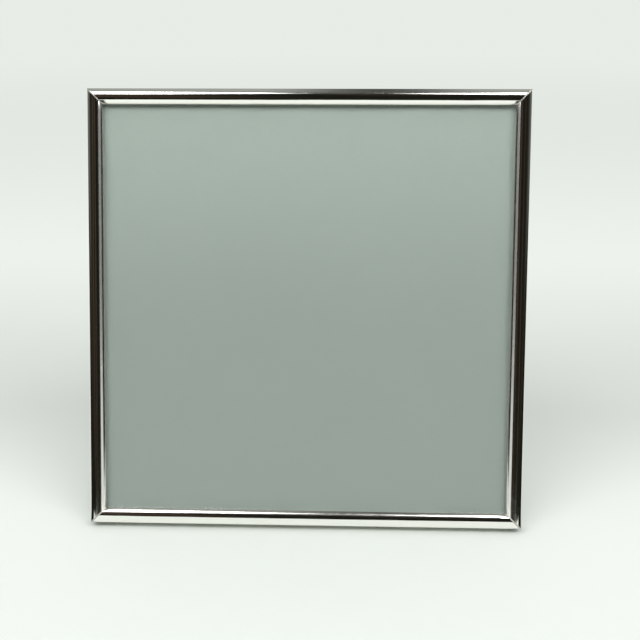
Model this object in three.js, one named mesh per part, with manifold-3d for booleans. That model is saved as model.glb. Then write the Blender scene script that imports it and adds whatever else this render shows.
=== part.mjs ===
// Photo frame that stands on an easel strut. Four mitred rails with a shallow round crown hold the glass,
// the sheet and a velvet-covered back in their rebate. Four turn buttons keep the back in, and a strut
// hinged to the back props the frame up.
//
// Sizes are millimetres. The frame is modelled upright, with x to the right, y from the front crest of
// the rails to the rear and z up from the bottom edge, and is then leaned back as it stands.

import * as THREE from 'three';
import { mergeVertices } from 'three/addons/utils/BufferGeometryUtils.js';
import Module from 'manifold-3d';

const wasm = await Module();
wasm.setup();

// Overall size and stance
const FRAME_WIDTH = 160;
const FRAME_HEIGHT = 160;
const LEAN = THREE.MathUtils.degToRad(13.5);

// Rail section
const STRIP = 0.7;
const CROWN_WIDTH = 5.7;
const CROWN_RISE = 1.4;
const REBATE_LEDGE = 1.5;

// Clearances
const MITRE_GAP = 0.3;
const SEAT_GAP = 0.3;
const REBATE_CLEARANCE = 0.3;

// What lies in the rebate, from front to rear
const GLASS_THICKNESS = 1.2;
const SHEET_THICKNESS = 0.4;
const CARD_THICKNESS = 1.0;
const BOARD_THICKNESS = 2.4;
const CLOTH_THICKNESS = 0.4;
const CORNER_RADIUS = 1.0;
const CLOTH_MARGIN = 0.4;

// Corner keys
const KEY_LEG = 18;
const KEY_THICKNESS = 4.0;
const KEY_BEVEL = 0.8;

// Turn buttons
const BUTTON_WIDTH = 7;
const BUTTON_OVERLAP = 3.1;
const BUTTON_THICKNESS = 0.8;
const BUTTON_INSET = 9;
const BUTTON_SPREAD = 84;
const WASHER_RADIUS = 3.4;
const WASHER_THICKNESS = 0.4;

// Rivets
const RIVET_RADIUS = 1.0;
const RIVET_HEAD_RADIUS = 2.1;
const RIVET_HEAD_HEIGHT = 0.9;
const RIVET_CLEARANCE = 0.3;
const RIVET_DOME_FACETS = 4;

// Easel hinge
const HINGE_HEIGHT = 100;
const HINGE_WIDTH = 26;
const LEAF_THICKNESS = 0.7;
const PIN_RADIUS = 0.9;
const PIN_CLEARANCE = 0.25;
const PIN_HEAD_RADIUS = 1.5;
const PIN_HEAD_HEIGHT = 0.6;
const KNUCKLE_WIDTH = 9;
const KNUCKLE_GAP = 0.3;
const FIXED_LEAF_HEIGHT = 17;
const FIXED_RIVET_SHARE = 0.65;
const FIXED_ROLL_END = THREE.MathUtils.degToRad(110);
const STRUT_LEAF_HEIGHT = 20;
const STRUT_RIVET_SHARE = 0.7;
const STRUT_ROLL_END = THREE.MathUtils.degToRad(245);
const STOP_TAIL_ROOT = THREE.MathUtils.degToRad(95);
const LEAF_CORNER_RADIUS = 2.5;
const STOP_HEIGHT = 6.5;
const RIVET_SPREAD = 15;

// Strut
const STRUT_TILT = THREE.MathUtils.degToRad(11.3);
const STRUT_THICKNESS = 2.4;
const STRUT_TOP_WIDTH = 30;
const STRUT_FOOT_WIDTH = 46;
const STRUT_TOP_SETBACK = 4;
const STRUT_FOOT_SETBACK = 5;
const STRUT_TOP_DROP = 2.7;
const STRUT_CLEARANCE = 0.5;
const STRUT_CLOTH_RISE = 0.8;

// Facets in a quarter turn of the rails' section, and of everything else
const RAIL_FACETS = 12;
const QUARTER_FACETS = 6;

const QUARTER_TURN = Math.PI / 2;

// Cutters run past the faces that they cut, and points this close are one
const OVERRUN = 1;
const MERGE_DISTANCE = 1e-4;
const TURN_TOLERANCE = 1e-6;

// Places that follow from the sizes
const rebateWall = CROWN_WIDTH - REBATE_LEDGE;
const hemRear = CROWN_RISE + STRIP;
const glassFront = hemRear + SEAT_GAP;
const sheetFront = glassFront + GLASS_THICKNESS + SEAT_GAP;
const cardFront = sheetFront + SHEET_THICKNESS + SEAT_GAP;
const boardFront = cardFront + CARD_THICKNESS + SEAT_GAP;
const clothFront = boardFront + BOARD_THICKNESS + SEAT_GAP;
const clothRear = clothFront + CLOTH_THICKNESS;
const washerFront = clothRear + SEAT_GAP;
const railDepth = washerFront + WASHER_THICKNESS;
const buttonFront = railDepth + SEAT_GAP;
const buttonLength = BUTTON_OVERLAP + REBATE_CLEARANCE + BUTTON_INSET + BUTTON_WIDTH / 2;
const insertWidth = FRAME_WIDTH - 2 * (rebateWall + REBATE_CLEARANCE);
const insertHeight = FRAME_HEIGHT - 2 * (rebateWall + REBATE_CLEARANCE);
const middleHeight = FRAME_HEIGHT / 2;
const rivetHole = RIVET_RADIUS + RIVET_CLEARANCE;

// The hinge and strut are laid out from the pin, y to the rear and z up, with the strut folded flat
const pinHole = PIN_RADIUS + PIN_CLEARANCE;
const knuckleRadius = pinHole + LEAF_THICKNESS;
const strutLeafFront = knuckleRadius - LEAF_THICKNESS;
const strutClothFront = strutLeafFront - SEAT_GAP - CLOTH_THICKNESS;
const strutFront = strutClothFront - SEAT_GAP - STRUT_THICKNESS;
const pinDepth = railDepth + STRUT_CLEARANCE - strutFront;
const fixedLeafFront = clothRear + SEAT_GAP - pinDepth;
const fixedLeafRear = fixedLeafFront + LEAF_THICKNESS;
const fixedRivetRise = FIXED_LEAF_HEIGHT * FIXED_RIVET_SHARE;
const strutRivetDrop = STRUT_LEAF_HEIGHT * STRUT_RIVET_SHARE;

// The pin's height above the table and the strut's tilt from upright give its reach from the pin
const pinHeight = HINGE_HEIGHT * Math.cos(LEAN) - (pinDepth - railDepth) * Math.sin(LEAN);
const strutReach = pinHeight / Math.cos(STRUT_TILT);
const strutOpening = LEAN + STRUT_TILT;

// Finishes
function finish(color, roughness, metalness, extra = {}) {
  return new THREE.MeshStandardMaterial({ color, roughness, metalness, ...extra });
}

const FINISHES = {
  silver: () => finish(0xd9d6cf, 0.1, 1.0),
  nickel: () => finish(0xb9b6ae, 0.3, 1.0),
  zinc: () => finish(0x9a9c9e, 0.5, 1.0),
  glass: () => finish(0xe4efea, 0.03, 0.0, { transparent: true, opacity: 0.25 }),
  greyGreen: () => finish(0x98a79c, 0.8, 0.0),
  card: () => finish(0xb4a688, 0.9, 0.0),
  hardboard: () => finish(0x6f5238, 0.75, 0.0),
  velvet: () => finish(0x26282d, 0.95, 0.0),
};

function piece(name, geometry, material) {
  const mesh = new THREE.Mesh(geometry, FINISHES[material]());
  mesh.name = name;
  return mesh;
}

// Solid cuts
function toSolid(geometry) {
  const bare = geometry.clone();
  bare.deleteAttribute('normal');
  bare.deleteAttribute('uv');
  const merged = mergeVertices(bare, MERGE_DISTANCE);
  const vertProperties = new Float32Array(merged.attributes.position.array);
  const triVerts = new Uint32Array(merged.index.array);
  return new wasm.Manifold(new wasm.Mesh({ numProp: 3, vertProperties, triVerts }));
}

function toGeometry(solid) {
  const { vertProperties, triVerts } = solid.getMesh();
  const geometry = new THREE.BufferGeometry();
  geometry.setAttribute('position', new THREE.BufferAttribute(vertProperties, 3));
  geometry.setIndex(new THREE.BufferAttribute(triVerts, 1));
  geometry.computeVertexNormals();
  return geometry;
}

function cut(geometry, cutters) {
  let solid = toSolid(geometry);
  for (const cutter of cutters) {
    solid = solid.subtract(toSolid(cutter));
  }
  return toGeometry(solid);
}

// An arc of a path, in stretches of at most a quarter turn so that they share the facets evenly
function addArc(path, x, y, radius, start, end) {
  const stretches = Math.ceil(Math.abs(end - start) / QUARTER_TURN - TURN_TOLERANCE);
  const sweep = (end - start) / stretches;
  for (let i = 0; i < stretches; i += 1) {
    const from = start + i * sweep;
    path.absarc(x, y, radius, from, from + sweep, sweep < 0);
  }
}

function addHole(outline, x, y, radius) {
  const hole = new THREE.Path();
  addArc(hole, x, y, radius, 4 * QUARTER_TURN, 0);
  outline.holes.push(hole);
}

// A rectangle with rounded corners, in the plane of the frame
function roundedOutline(width, height, radius) {
  const x = width / 2 - radius;
  const z = height / 2 - radius;
  const outline = new THREE.Shape();
  outline.moveTo(-x, -z - radius);
  outline.lineTo(x, -z - radius);
  addArc(outline, x, -z, radius, -QUARTER_TURN, 0);
  outline.lineTo(x + radius, z);
  addArc(outline, x, z, radius, 0, QUARTER_TURN);
  outline.lineTo(-x, z + radius);
  addArc(outline, -x, z, radius, QUARTER_TURN, 2 * QUARTER_TURN);
  outline.lineTo(-x - radius, -z);
  addArc(outline, -x, -z, radius, 2 * QUARTER_TURN, 3 * QUARTER_TURN);
  return outline;
}

function extrude(outline, depth, facets) {
  return new THREE.ExtrudeGeometry(outline, { depth, bevelEnabled: false, curveSegments: facets / 2 });
}

// A plate with its outline in the plane of the frame, from the depth `front` rearwards
function plate(outline, thickness, front) {
  const geometry = extrude(outline, thickness, QUARTER_FACETS);
  geometry.rotateX(QUARTER_TURN);
  geometry.translate(0, front + thickness, 0);
  return geometry;
}

// A profile drawn in y and z, run along x and centred on it
const ACROSS = new THREE.Matrix4().makeBasis(
  new THREE.Vector3(0, 1, 0),
  new THREE.Vector3(0, 0, 1),
  new THREE.Vector3(1, 0, 0),
);

function bar(profile, width) {
  const geometry = extrude(profile, width, QUARTER_FACETS);
  geometry.applyMatrix4(ACROSS);
  geometry.translate(-width / 2, 0, 0);
  return geometry;
}

function block(x0, x1, y0, y1, z0, z1) {
  const geometry = new THREE.BoxGeometry(x1 - x0, y1 - y0, z1 - z0);
  geometry.translate((x0 + x1) / 2, (y0 + y1) / 2, (z0 + z1) / 2);
  return geometry;
}

// Rails: the strip rises as the outer wall, bends over a tight shoulder onto the shallow crown and is
// hemmed at its inner edge, folded back flat under itself as far as the rebate wall, which runs to the
// rear. A channel stays open to the rear between the two walls. The bends' outer radius is the strip's
// thickness, and the crown is the arc that joins them at its full rise.
function railSection() {
  const crest = CROWN_WIDTH / 2;
  const run = crest - STRIP;
  const drop = CROWN_RISE - STRIP;
  const innerRadius = (run ** 2 + drop ** 2) / (2 * drop);
  const radius = innerRadius + STRIP;
  const slope = Math.asin(run / innerRadius);
  const channelWall = rebateWall - STRIP;
  const channelAngle = Math.asin((channelWall - crest) / innerRadius) - QUARTER_TURN;
  const section = new THREE.Shape();
  section.moveTo(0, railDepth);
  section.lineTo(0, CROWN_RISE);
  addArc(section, STRIP, CROWN_RISE, STRIP, 2 * QUARTER_TURN, 3 * QUARTER_TURN - slope);
  addArc(section, crest, radius, radius, -QUARTER_TURN - slope, slope - QUARTER_TURN);
  addArc(section, CROWN_WIDTH - STRIP, CROWN_RISE, STRIP, slope - QUARTER_TURN, QUARTER_TURN);
  section.lineTo(rebateWall, hemRear);
  section.lineTo(rebateWall, railDepth);
  section.lineTo(channelWall, railDepth);
  addArc(section, crest, radius, innerRadius, channelAngle, -QUARTER_TURN - slope);
  section.lineTo(STRIP, railDepth);
  section.closePath();
  return section;
}

// A rail lies along x with its outer edge at z = 0, and each end follows the section at 45 degrees
function railGeometry(length) {
  const geometry = extrude(railSection(), length, RAIL_FACETS);
  const corner = geometry.attributes.position;
  const setback = MITRE_GAP / Math.SQRT2;
  for (let i = 0; i < corner.count; i += 1) {
    const inward = corner.getX(i);
    const depth = corner.getY(i);
    const mitred = inward + setback;
    const along = corner.getZ(i) < length / 2 ? mitred : length - mitred;
    corner.setXYZ(i, length / 2 - along, depth, inward);
  }
  geometry.computeVertexNormals();
  return geometry;
}

function addRails(parent) {
  const rails = [
    { name: 'rail_bottom', length: FRAME_WIDTH, reach: FRAME_HEIGHT / 2, turn: 0 },
    { name: 'rail_left', length: FRAME_HEIGHT, reach: FRAME_WIDTH / 2, turn: 1 },
    { name: 'rail_top', length: FRAME_WIDTH, reach: FRAME_HEIGHT / 2, turn: 2 },
    { name: 'rail_right', length: FRAME_HEIGHT, reach: FRAME_WIDTH / 2, turn: 3 },
  ];
  for (const rail of rails) {
    const side = new THREE.Group();
    side.position.z = middleHeight;
    side.rotation.y = rail.turn * QUARTER_TURN;
    const mesh = piece(rail.name, railGeometry(rail.length), 'silver');
    mesh.position.z = -rail.reach;
    side.add(mesh);
    parent.add(side);
  }
}

// Corner keys: L-shaped, one leg in the channel of each rail that meets at the corner
function keyOutline() {
  const near = STRIP + SEAT_GAP;
  const far = rebateWall - STRIP - SEAT_GAP;
  const tip = near + KEY_LEG;
  const outline = new THREE.Shape();
  outline.moveTo(near + KEY_BEVEL, near);
  outline.lineTo(tip - KEY_BEVEL, near);
  outline.lineTo(tip, near + KEY_BEVEL);
  outline.lineTo(tip, far - KEY_BEVEL);
  outline.lineTo(tip - KEY_BEVEL, far);
  outline.lineTo(far, far);
  outline.lineTo(far, tip - KEY_BEVEL);
  outline.lineTo(far - KEY_BEVEL, tip);
  outline.lineTo(near + KEY_BEVEL, tip);
  outline.lineTo(near, tip - KEY_BEVEL);
  outline.lineTo(near, near + KEY_BEVEL);
  outline.closePath();
  return outline;
}

function addCornerKeys(parent) {
  const halfWidth = FRAME_WIDTH / 2;
  const halfHeight = FRAME_HEIGHT / 2;
  const corners = [
    { name: 'corner_key_bottom_left', x: -halfWidth, z: -halfHeight, turn: 0 },
    { name: 'corner_key_top_left', x: -halfWidth, z: halfHeight, turn: 1 },
    { name: 'corner_key_top_right', x: halfWidth, z: halfHeight, turn: 2 },
    { name: 'corner_key_bottom_right', x: halfWidth, z: -halfHeight, turn: 3 },
  ];
  for (const corner of corners) {
    const mesh = piece(corner.name, plate(keyOutline(), KEY_THICKNESS, hemRear + SEAT_GAP), 'zinc');
    mesh.position.set(corner.x, 0, middleHeight + corner.z);
    mesh.rotation.y = corner.turn * QUARTER_TURN;
    parent.add(mesh);
  }
}

// Turn buttons and rivets are set out from the middle of the back
const buttonPlaces = [
  { name: 'upper_left', x: -1, z: 1 },
  { name: 'upper_right', x: 1, z: 1 },
  { name: 'lower_left', x: -1, z: -1 },
  { name: 'lower_right', x: 1, z: -1 },
].map((place) => ({
  name: place.name,
  side: place.x,
  x: place.x * (insertWidth / 2 - BUTTON_INSET),
  z: (place.z * BUTTON_SPREAD) / 2,
}));

const fixedRivetPlaces = [
  { name: 'fixed_leaf_rivet_left', x: -RIVET_SPREAD / 2 },
  { name: 'fixed_leaf_rivet_right', x: RIVET_SPREAD / 2 },
].map((place) => ({ ...place, z: HINGE_HEIGHT - middleHeight + fixedRivetRise }));

// Glass, sheet, card, board and cloth share one outline, the last two with the rivets' holes
function backOutline(margin, holes) {
  const radius = CORNER_RADIUS;
  const outline = roundedOutline(insertWidth - 2 * margin, insertHeight - 2 * margin, radius);
  for (const hole of holes) {
    addHole(outline, hole.x, hole.z, rivetHole);
  }
  return outline;
}

function addBackStack(parent) {
  const holes = [...buttonPlaces, ...fixedRivetPlaces];
  const add = (name, material, thickness, front, outline) => {
    const mesh = piece(name, plate(outline, thickness, front), material);
    mesh.position.z = middleHeight;
    parent.add(mesh);
  };
  const whole = backOutline(0, []);
  add('glass_pane', 'glass', GLASS_THICKNESS, glassFront, whole);
  add('backing_sheet', 'greyGreen', SHEET_THICKNESS, sheetFront, whole);
  add('filler_card', 'card', CARD_THICKNESS, cardFront, whole);
  add('back_board', 'hardboard', BOARD_THICKNESS, boardFront, backOutline(0, holes));
  add('back_cloth', 'velvet', CLOTH_THICKNESS, clothFront, backOutline(CLOTH_MARGIN, holes));
}

// A domed rivet along y: its head sits on `seat`, and its shank runs forward to `tip`
function rivetGeometry(seat, tip) {
  const sphere = (RIVET_HEAD_RADIUS ** 2 + RIVET_HEAD_HEIGHT ** 2) / (2 * RIVET_HEAD_HEIGHT);
  const sweep = Math.asin(RIVET_HEAD_RADIUS / sphere);
  const profile = [new THREE.Vector2(0, tip), new THREE.Vector2(RIVET_RADIUS, tip)];
  profile.push(new THREE.Vector2(RIVET_RADIUS, seat));
  for (let i = 0; i < RIVET_DOME_FACETS; i += 1) {
    const angle = sweep * (1 - i / RIVET_DOME_FACETS);
    const rise = sphere * (Math.cos(angle) - Math.cos(sweep));
    profile.push(new THREE.Vector2(sphere * Math.sin(angle), seat + rise));
  }
  profile.push(new THREE.Vector2(0, seat + RIVET_HEAD_HEIGHT));
  return new THREE.LatheGeometry(profile, 4 * QUARTER_FACETS);
}

// A button is a flat bar with round ends, turning on its rivet near the inner end
function buttonGeometry(side) {
  const radius = BUTTON_WIDTH / 2;
  const outline = roundedOutline(buttonLength, BUTTON_WIDTH, radius);
  const shift = side * (buttonLength / 2 - radius);
  addHole(outline, -shift, 0, rivetHole);
  const geometry = plate(outline, BUTTON_THICKNESS, 0);
  geometry.translate(shift, 0, 0);
  return geometry;
}

function washerGeometry() {
  const outline = new THREE.Shape();
  addArc(outline, 0, 0, WASHER_RADIUS, 0, 4 * QUARTER_TURN);
  addHole(outline, 0, 0, rivetHole);
  return plate(outline, WASHER_THICKNESS, 0);
}

function addTurnButtons(parent) {
  const seat = buttonFront + BUTTON_THICKNESS + SEAT_GAP;
  for (const place of buttonPlaces) {
    const rivet = piece(`button_rivet_${place.name}`, rivetGeometry(seat, boardFront), 'nickel');
    const washer = piece(`button_washer_${place.name}`, washerGeometry(), 'nickel');
    const button = piece(`turn_button_${place.name}`, buttonGeometry(place.side), 'nickel');
    rivet.position.set(place.x, 0, middleHeight + place.z);
    washer.position.set(place.x, washerFront, middleHeight + place.z);
    button.position.set(place.x, buttonFront, middleHeight + place.z);
    parent.add(rivet, washer, button);
  }
}

// Fixed leaf: a plate on the back, cranked out to two knuckles round the pin
function fixedLeafGeometry() {
  const rollTop = knuckleRadius + 2 * LEAF_THICKNESS;
  const profile = new THREE.Shape();
  profile.moveTo(fixedLeafFront, FIXED_LEAF_HEIGHT);
  profile.lineTo(fixedLeafFront, knuckleRadius);
  profile.lineTo(-knuckleRadius, 0);
  addArc(profile, 0, 0, knuckleRadius, 2 * QUARTER_TURN, 4 * QUARTER_TURN + FIXED_ROLL_END);
  profile.lineTo(fixedLeafRear, rollTop);
  profile.lineTo(fixedLeafRear, FIXED_LEAF_HEIGHT);
  profile.closePath();
  addHole(profile, 0, 0, pinHole);
  const notch = KNUCKLE_WIDTH / 2 + KNUCKLE_GAP;
  const past = knuckleRadius + OVERRUN;
  const cutters = [block(-notch, notch, fixedLeafFront - OVERRUN, past, -past, rollTop)];
  cutters.push(...leafCorners(FIXED_LEAF_HEIGHT, 1, fixedLeafFront, fixedLeafRear));
  for (const place of fixedRivetPlaces) {
    cutters.push(punch(place.x, fixedRivetRise, rivetHole, fixedLeafFront, fixedLeafRear));
  }
  return cut(bar(profile, HINGE_WIDTH), cutters);
}

// Strut leaf: a plate on the strut, rolled round the pin in the middle, with a tail above the pin that
// meets the fixed leaf and stops the strut when it is open
function strutLeafGeometry() {
  const stopRear = fixedLeafRear + SEAT_GAP;
  const profile = new THREE.Shape();
  const rollStart = 2 * QUARTER_TURN - strutOpening;
  const tail = [
    new THREE.Vector2(stopRear, STOP_HEIGHT),
    new THREE.Vector2(stopRear + LEAF_THICKNESS, STOP_HEIGHT),
  ].map((point) => point.rotateAround(new THREE.Vector2(), -strutOpening));
  profile.moveTo(strutLeafFront, -STRUT_LEAF_HEIGHT);
  profile.lineTo(knuckleRadius, -STRUT_LEAF_HEIGHT);
  profile.lineTo(knuckleRadius, 0);
  addArc(profile, 0, 0, knuckleRadius, 0, STOP_TAIL_ROOT - strutOpening);
  profile.lineTo(tail[1].x, tail[1].y);
  profile.lineTo(tail[0].x, tail[0].y);
  addArc(profile, 0, 0, knuckleRadius, rollStart, STRUT_ROLL_END);
  profile.lineTo(strutLeafFront, -knuckleRadius);
  profile.closePath();
  addHole(profile, 0, 0, pinHole);
  const half = KNUCKLE_WIDTH / 2;
  const side = HINGE_WIDTH / 2 + OVERRUN;
  const shoulder = -knuckleRadius - KNUCKLE_GAP;
  const reach = STOP_HEIGHT + knuckleRadius;
  const cutters = [
    block(-side, -half, -reach, reach, shoulder, reach),
    block(half, side, -reach, reach, shoulder, reach),
    ...leafCorners(-STRUT_LEAF_HEIGHT, -1, strutLeafFront, knuckleRadius),
  ];
  for (const x of [-RIVET_SPREAD / 2, RIVET_SPREAD / 2]) {
    cutters.push(punch(x, -strutRivetDrop, rivetHole, strutLeafFront, knuckleRadius));
  }
  return cut(bar(profile, HINGE_WIDTH), cutters);
}

// What a rounded corner takes off the two far corners of a leaf
function leafCorners(end, direction, front, rear) {
  const radius = LEAF_CORNER_RADIUS;
  return [-1, 1].map((side) => {
    const x = side * (HINGE_WIDTH / 2 - radius);
    const z = end - direction * radius;
    const half = radius + OVERRUN;
    const waste = block(-half, half, front - OVERRUN, rear + OVERRUN, -half, half);
    waste.translate(x + side * half, 0, z + direction * half);
    return cut(waste, [punch(x, z, radius, front - OVERRUN, rear + OVERRUN)]);
  });
}

// A round punch along y that runs a little past both faces
function punch(x, z, radius, front, rear) {
  const cutter = new THREE.CylinderGeometry(radius, radius, rear - front + 2 * OVERRUN, 4 * QUARTER_FACETS);
  cutter.translate(x, (front + rear) / 2, z);
  return cutter;
}

// The pin is a plain wire with a flat head at each end
function pinGeometry() {
  const headSeat = HINGE_WIDTH / 2 + KNUCKLE_GAP;
  const tip = headSeat + PIN_HEAD_HEIGHT;
  const bevel = PIN_HEAD_HEIGHT / 2;
  const half = [
    [PIN_RADIUS, headSeat],
    [PIN_HEAD_RADIUS, headSeat],
    [PIN_HEAD_RADIUS, tip - bevel],
    [PIN_HEAD_RADIUS - bevel, tip],
    [0, tip],
  ];
  const lower = half.map(([radius, along]) => new THREE.Vector2(radius, -along)).reverse();
  const upper = half.map(([radius, along]) => new THREE.Vector2(radius, along));
  const geometry = new THREE.LatheGeometry([...lower, ...upper], 4 * QUARTER_FACETS);
  geometry.rotateZ(-QUARTER_TURN);
  return geometry;
}

// A straight-sided outline whose corners are eased by its own setback at each corner
function easedOutline(corners) {
  const outline = new THREE.Shape();
  corners.forEach((corner, i) => {
    const before = corners[(i + corners.length - 1) % corners.length].at;
    const after = corners[(i + 1) % corners.length].at;
    const into = before.clone().sub(corner.at).setLength(corner.setback).add(corner.at);
    const outOf = after.clone().sub(corner.at).setLength(corner.setback).add(corner.at);
    if (i === 0) {
      outline.moveTo(into.x, into.y);
    } else {
      outline.lineTo(into.x, into.y);
    }
    outline.quadraticCurveTo(corner.at.x, corner.at.y, outOf.x, outOf.y);
  });
  outline.closePath();
  return outline;
}

// Strut outline, from the pin down: narrow at the hinge and wide at the foot
function strutOutline(margin, foot, holes) {
  const top = -STRUT_TOP_DROP - margin;
  const halfTop = STRUT_TOP_WIDTH / 2 - margin;
  const halfFoot = STRUT_FOOT_WIDTH / 2 - margin;
  const outline = easedOutline([
    { at: new THREE.Vector2(-halfFoot, -foot), setback: STRUT_FOOT_SETBACK },
    { at: new THREE.Vector2(halfFoot, -foot), setback: STRUT_FOOT_SETBACK },
    { at: new THREE.Vector2(halfTop, top), setback: STRUT_TOP_SETBACK },
    { at: new THREE.Vector2(-halfTop, top), setback: STRUT_TOP_SETBACK },
  ]);
  for (const x of holes) {
    addHole(outline, x, -strutRivetDrop, rivetHole);
  }
  return outline;
}

// The foot is cut to lie flat on the table when the strut is open
function footCutter() {
  const wide = STRUT_FOOT_WIDTH * 2;
  const cutter = block(-wide, wide, -wide, wide, -wide, 0);
  cutter.rotateX(-STRUT_TILT);
  cutter.translate(0, 0, -strutReach);
  return cutter;
}

function addEasel(parent) {
  const holes = [-RIVET_SPREAD / 2, RIVET_SPREAD / 2];
  const spare = STRUT_THICKNESS * Math.tan(STRUT_TILT);
  const fixedSeat = fixedLeafRear + SEAT_GAP;
  const strutSeat = knuckleRadius + SEAT_GAP;
  const hinge = new THREE.Group();
  hinge.position.set(0, pinDepth, HINGE_HEIGHT);
  hinge.add(piece('hinge_fixed_leaf', fixedLeafGeometry(), 'nickel'));
  hinge.add(piece('hinge_pin', pinGeometry(), 'nickel'));
  for (const place of fixedRivetPlaces) {
    const rivet = piece(place.name, rivetGeometry(fixedSeat, boardFront - pinDepth), 'nickel');
    rivet.position.set(place.x, 0, fixedRivetRise);
    hinge.add(rivet);
  }

  const strut = new THREE.Group();
  strut.rotation.x = strutOpening;
  strut.add(piece('hinge_strut_leaf', strutLeafGeometry(), 'nickel'));
  const board = plate(strutOutline(0, strutReach + spare, holes), STRUT_THICKNESS, strutFront);
  strut.add(piece('strut_board', cut(board, [footCutter()]), 'hardboard'));
  const clothFoot = strutReach - STRUT_CLOTH_RISE;
  const cloth = plate(strutOutline(CLOTH_MARGIN, clothFoot, holes), CLOTH_THICKNESS, strutClothFront);
  strut.add(piece('strut_cloth', cloth, 'velvet'));
  for (const side of [-1, 1]) {
    const name = side < 0 ? 'strut_leaf_rivet_left' : 'strut_leaf_rivet_right';
    const rivet = piece(name, rivetGeometry(strutSeat, strutFront), 'nickel');
    rivet.position.set((side * RIVET_SPREAD) / 2, 0, -strutRivetDrop);
    strut.add(rivet);
  }
  hinge.add(strut);
  parent.add(hinge);
}

// Assembly: leaned back on the rear edge of the bottom rail and the strut's foot, with the origin on
// the table, midway between the outermost points
const group = new THREE.Group();
const leaned = new THREE.Group();
leaned.rotation.x = -LEAN;
addRails(leaned);
addCornerKeys(leaned);
addBackStack(leaned);
addTurnButtons(leaned);
addEasel(leaned);
group.add(leaned);

leaned.position.z = railDepth * Math.sin(LEAN);
group.updateMatrixWorld(true);
const extent = new THREE.Box3().setFromObject(group, true);
leaned.position.y = -(extent.min.y + extent.max.y) / 2;
group.updateMatrixWorld(true);

export default group;
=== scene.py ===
"""Photo frame on an easel strut: four mitred silver-plated rails, glass, a grey-green sheet, a velvet
back held by turn buttons, and a hinged strut.

The file is laid out as an add-on. Each operator makes one piece, or a group of like pieces, where the
packed frame has it. Sizes are metres. A piece is drawn upright, with x to the right, y from the front
crest of the rails to the rear and z up from the bottom edge, and is then leaned back as it stands.
"""

import math

import bmesh
import bpy
from bpy.props import FloatProperty, FloatVectorProperty, IntProperty, PointerProperty
from bpy.types import Operator, Panel, PropertyGroup
from mathutils import Euler, Matrix, Vector, noise
from mathutils.geometry import tessellate_polygon


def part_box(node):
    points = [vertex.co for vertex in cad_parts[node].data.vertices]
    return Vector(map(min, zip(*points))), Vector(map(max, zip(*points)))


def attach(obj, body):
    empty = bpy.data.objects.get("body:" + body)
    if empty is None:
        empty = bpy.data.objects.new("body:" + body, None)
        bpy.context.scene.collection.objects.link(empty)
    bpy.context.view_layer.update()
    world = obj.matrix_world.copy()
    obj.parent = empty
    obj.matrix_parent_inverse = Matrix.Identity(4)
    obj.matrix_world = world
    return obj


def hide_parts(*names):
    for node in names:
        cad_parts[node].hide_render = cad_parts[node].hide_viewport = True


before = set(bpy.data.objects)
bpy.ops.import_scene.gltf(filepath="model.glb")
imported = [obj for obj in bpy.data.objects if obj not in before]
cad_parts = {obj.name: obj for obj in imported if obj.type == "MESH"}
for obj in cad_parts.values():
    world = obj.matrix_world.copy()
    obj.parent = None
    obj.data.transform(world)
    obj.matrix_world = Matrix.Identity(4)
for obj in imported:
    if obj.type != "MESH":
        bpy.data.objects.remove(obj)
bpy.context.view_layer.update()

bl_info = {
    "name": "Easel photo frame",
    "version": (1, 0, 0),
    "blender": (4, 5, 0),
    "location": "View3D > Sidebar > Photo frame",
    "description": "Silver-plated photo frame with a velvet back and a hinged easel strut",
    "category": "Object",
}

MM = 0.001
QUARTER = math.pi / 2
SIDES = (("bottom", 0), ("left", 1), ("top", 2), ("right", 3))
CORNERS = (("upper_left", -1, 1), ("upper_right", 1, 1), ("lower_left", -1, -1), ("lower_right", 1, -1))

# Bends of an outline that are sharper than this, in degrees, are rounded
SHARP_BEND = 25.0
# Points closer together than this become one
MERGE = 2e-7
# From the rails' inner edge to where the fold's tarnish, which also paints shade there, begins, and to where
# it is full
FOLD_SHADE = (0.0008, 0.0004)
# Over how much the worn strip of the rails comes and goes
WORN_FADE_IN = 0.0003
WORN_FADE_OUT = 0.0002
# The solder line: how deep it lies, as a share of its radius, how far from the rails' rear and behind
# the crown's sides it ends, and how far the metal may turn to the rear where it still shows
SOLDER_SUNK = 0.72
SOLDER_SHORT = 0.001
SOLDER_IN = 0.0004
SOLDER_TURN = 0.25
# The back's velvet: width of its turned edge, height at the very edge as a share of the whole, height
# of its waves, depth of its dents, and their reach about a button's rivet and a rivet of the hinge
CLOTH_TURN = 0.0020
CLOTH_EDGE = 0.45
CLOTH_WAVE = 0.00004
CLOTH_DENT = 0.00022
BUTTON_DENT = 0.0040
LEAF_DENT = 0.0026
# Rounding of the buttons, of the washers and of the strut's board
BUTTON_EASE = 0.00022
WASHER_EASE = 0.0001
STRUT_EASE = 0.0003
# The strut's velvet: how far inside the board's faces it begins, the two steps of the lip on the
# board's sides, and how much its rear face falls off to the turned edge
COVER_SKIN = 0.00006
LIP_FRONT = 0.00008
LIP_REAR = 0.0001
COVER_FALL = 0.00002
# How far the floor lies below the frame's feet
FLOOR_DROP = 0.0002
# Each lamp's name, its place in x and y, its width and its length
LAMPS = (
    ("lamp_left", -1.228, -1.69, 2.216, 1.74),
    ("lamp_right", 1.357, -1.69, 2.320, 1.74),
)


def length(name, description, default):
    return FloatProperty(name=name, description=description, default=default, unit="LENGTH", precision=5)


def angle(name, description, degrees):
    return FloatProperty(
        name=name, description=description, default=math.radians(degrees), subtype="ANGLE", unit="ROTATION"
    )


def share(name, description, default):
    return FloatProperty(
        name=name, description=description, default=default, min=0.0, max=1.0, subtype="FACTOR"
    )


def number(name, description, default):
    return FloatProperty(name=name, description=description, default=default)


def count(name, description, default):
    return IntProperty(name=name, description=description, default=default, min=6, max=400)


def colour(name, description, default):
    return FloatVectorProperty(
        name=name, description=description, default=default, size=3, min=0.0, max=1.0, subtype="COLOR"
    )


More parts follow.
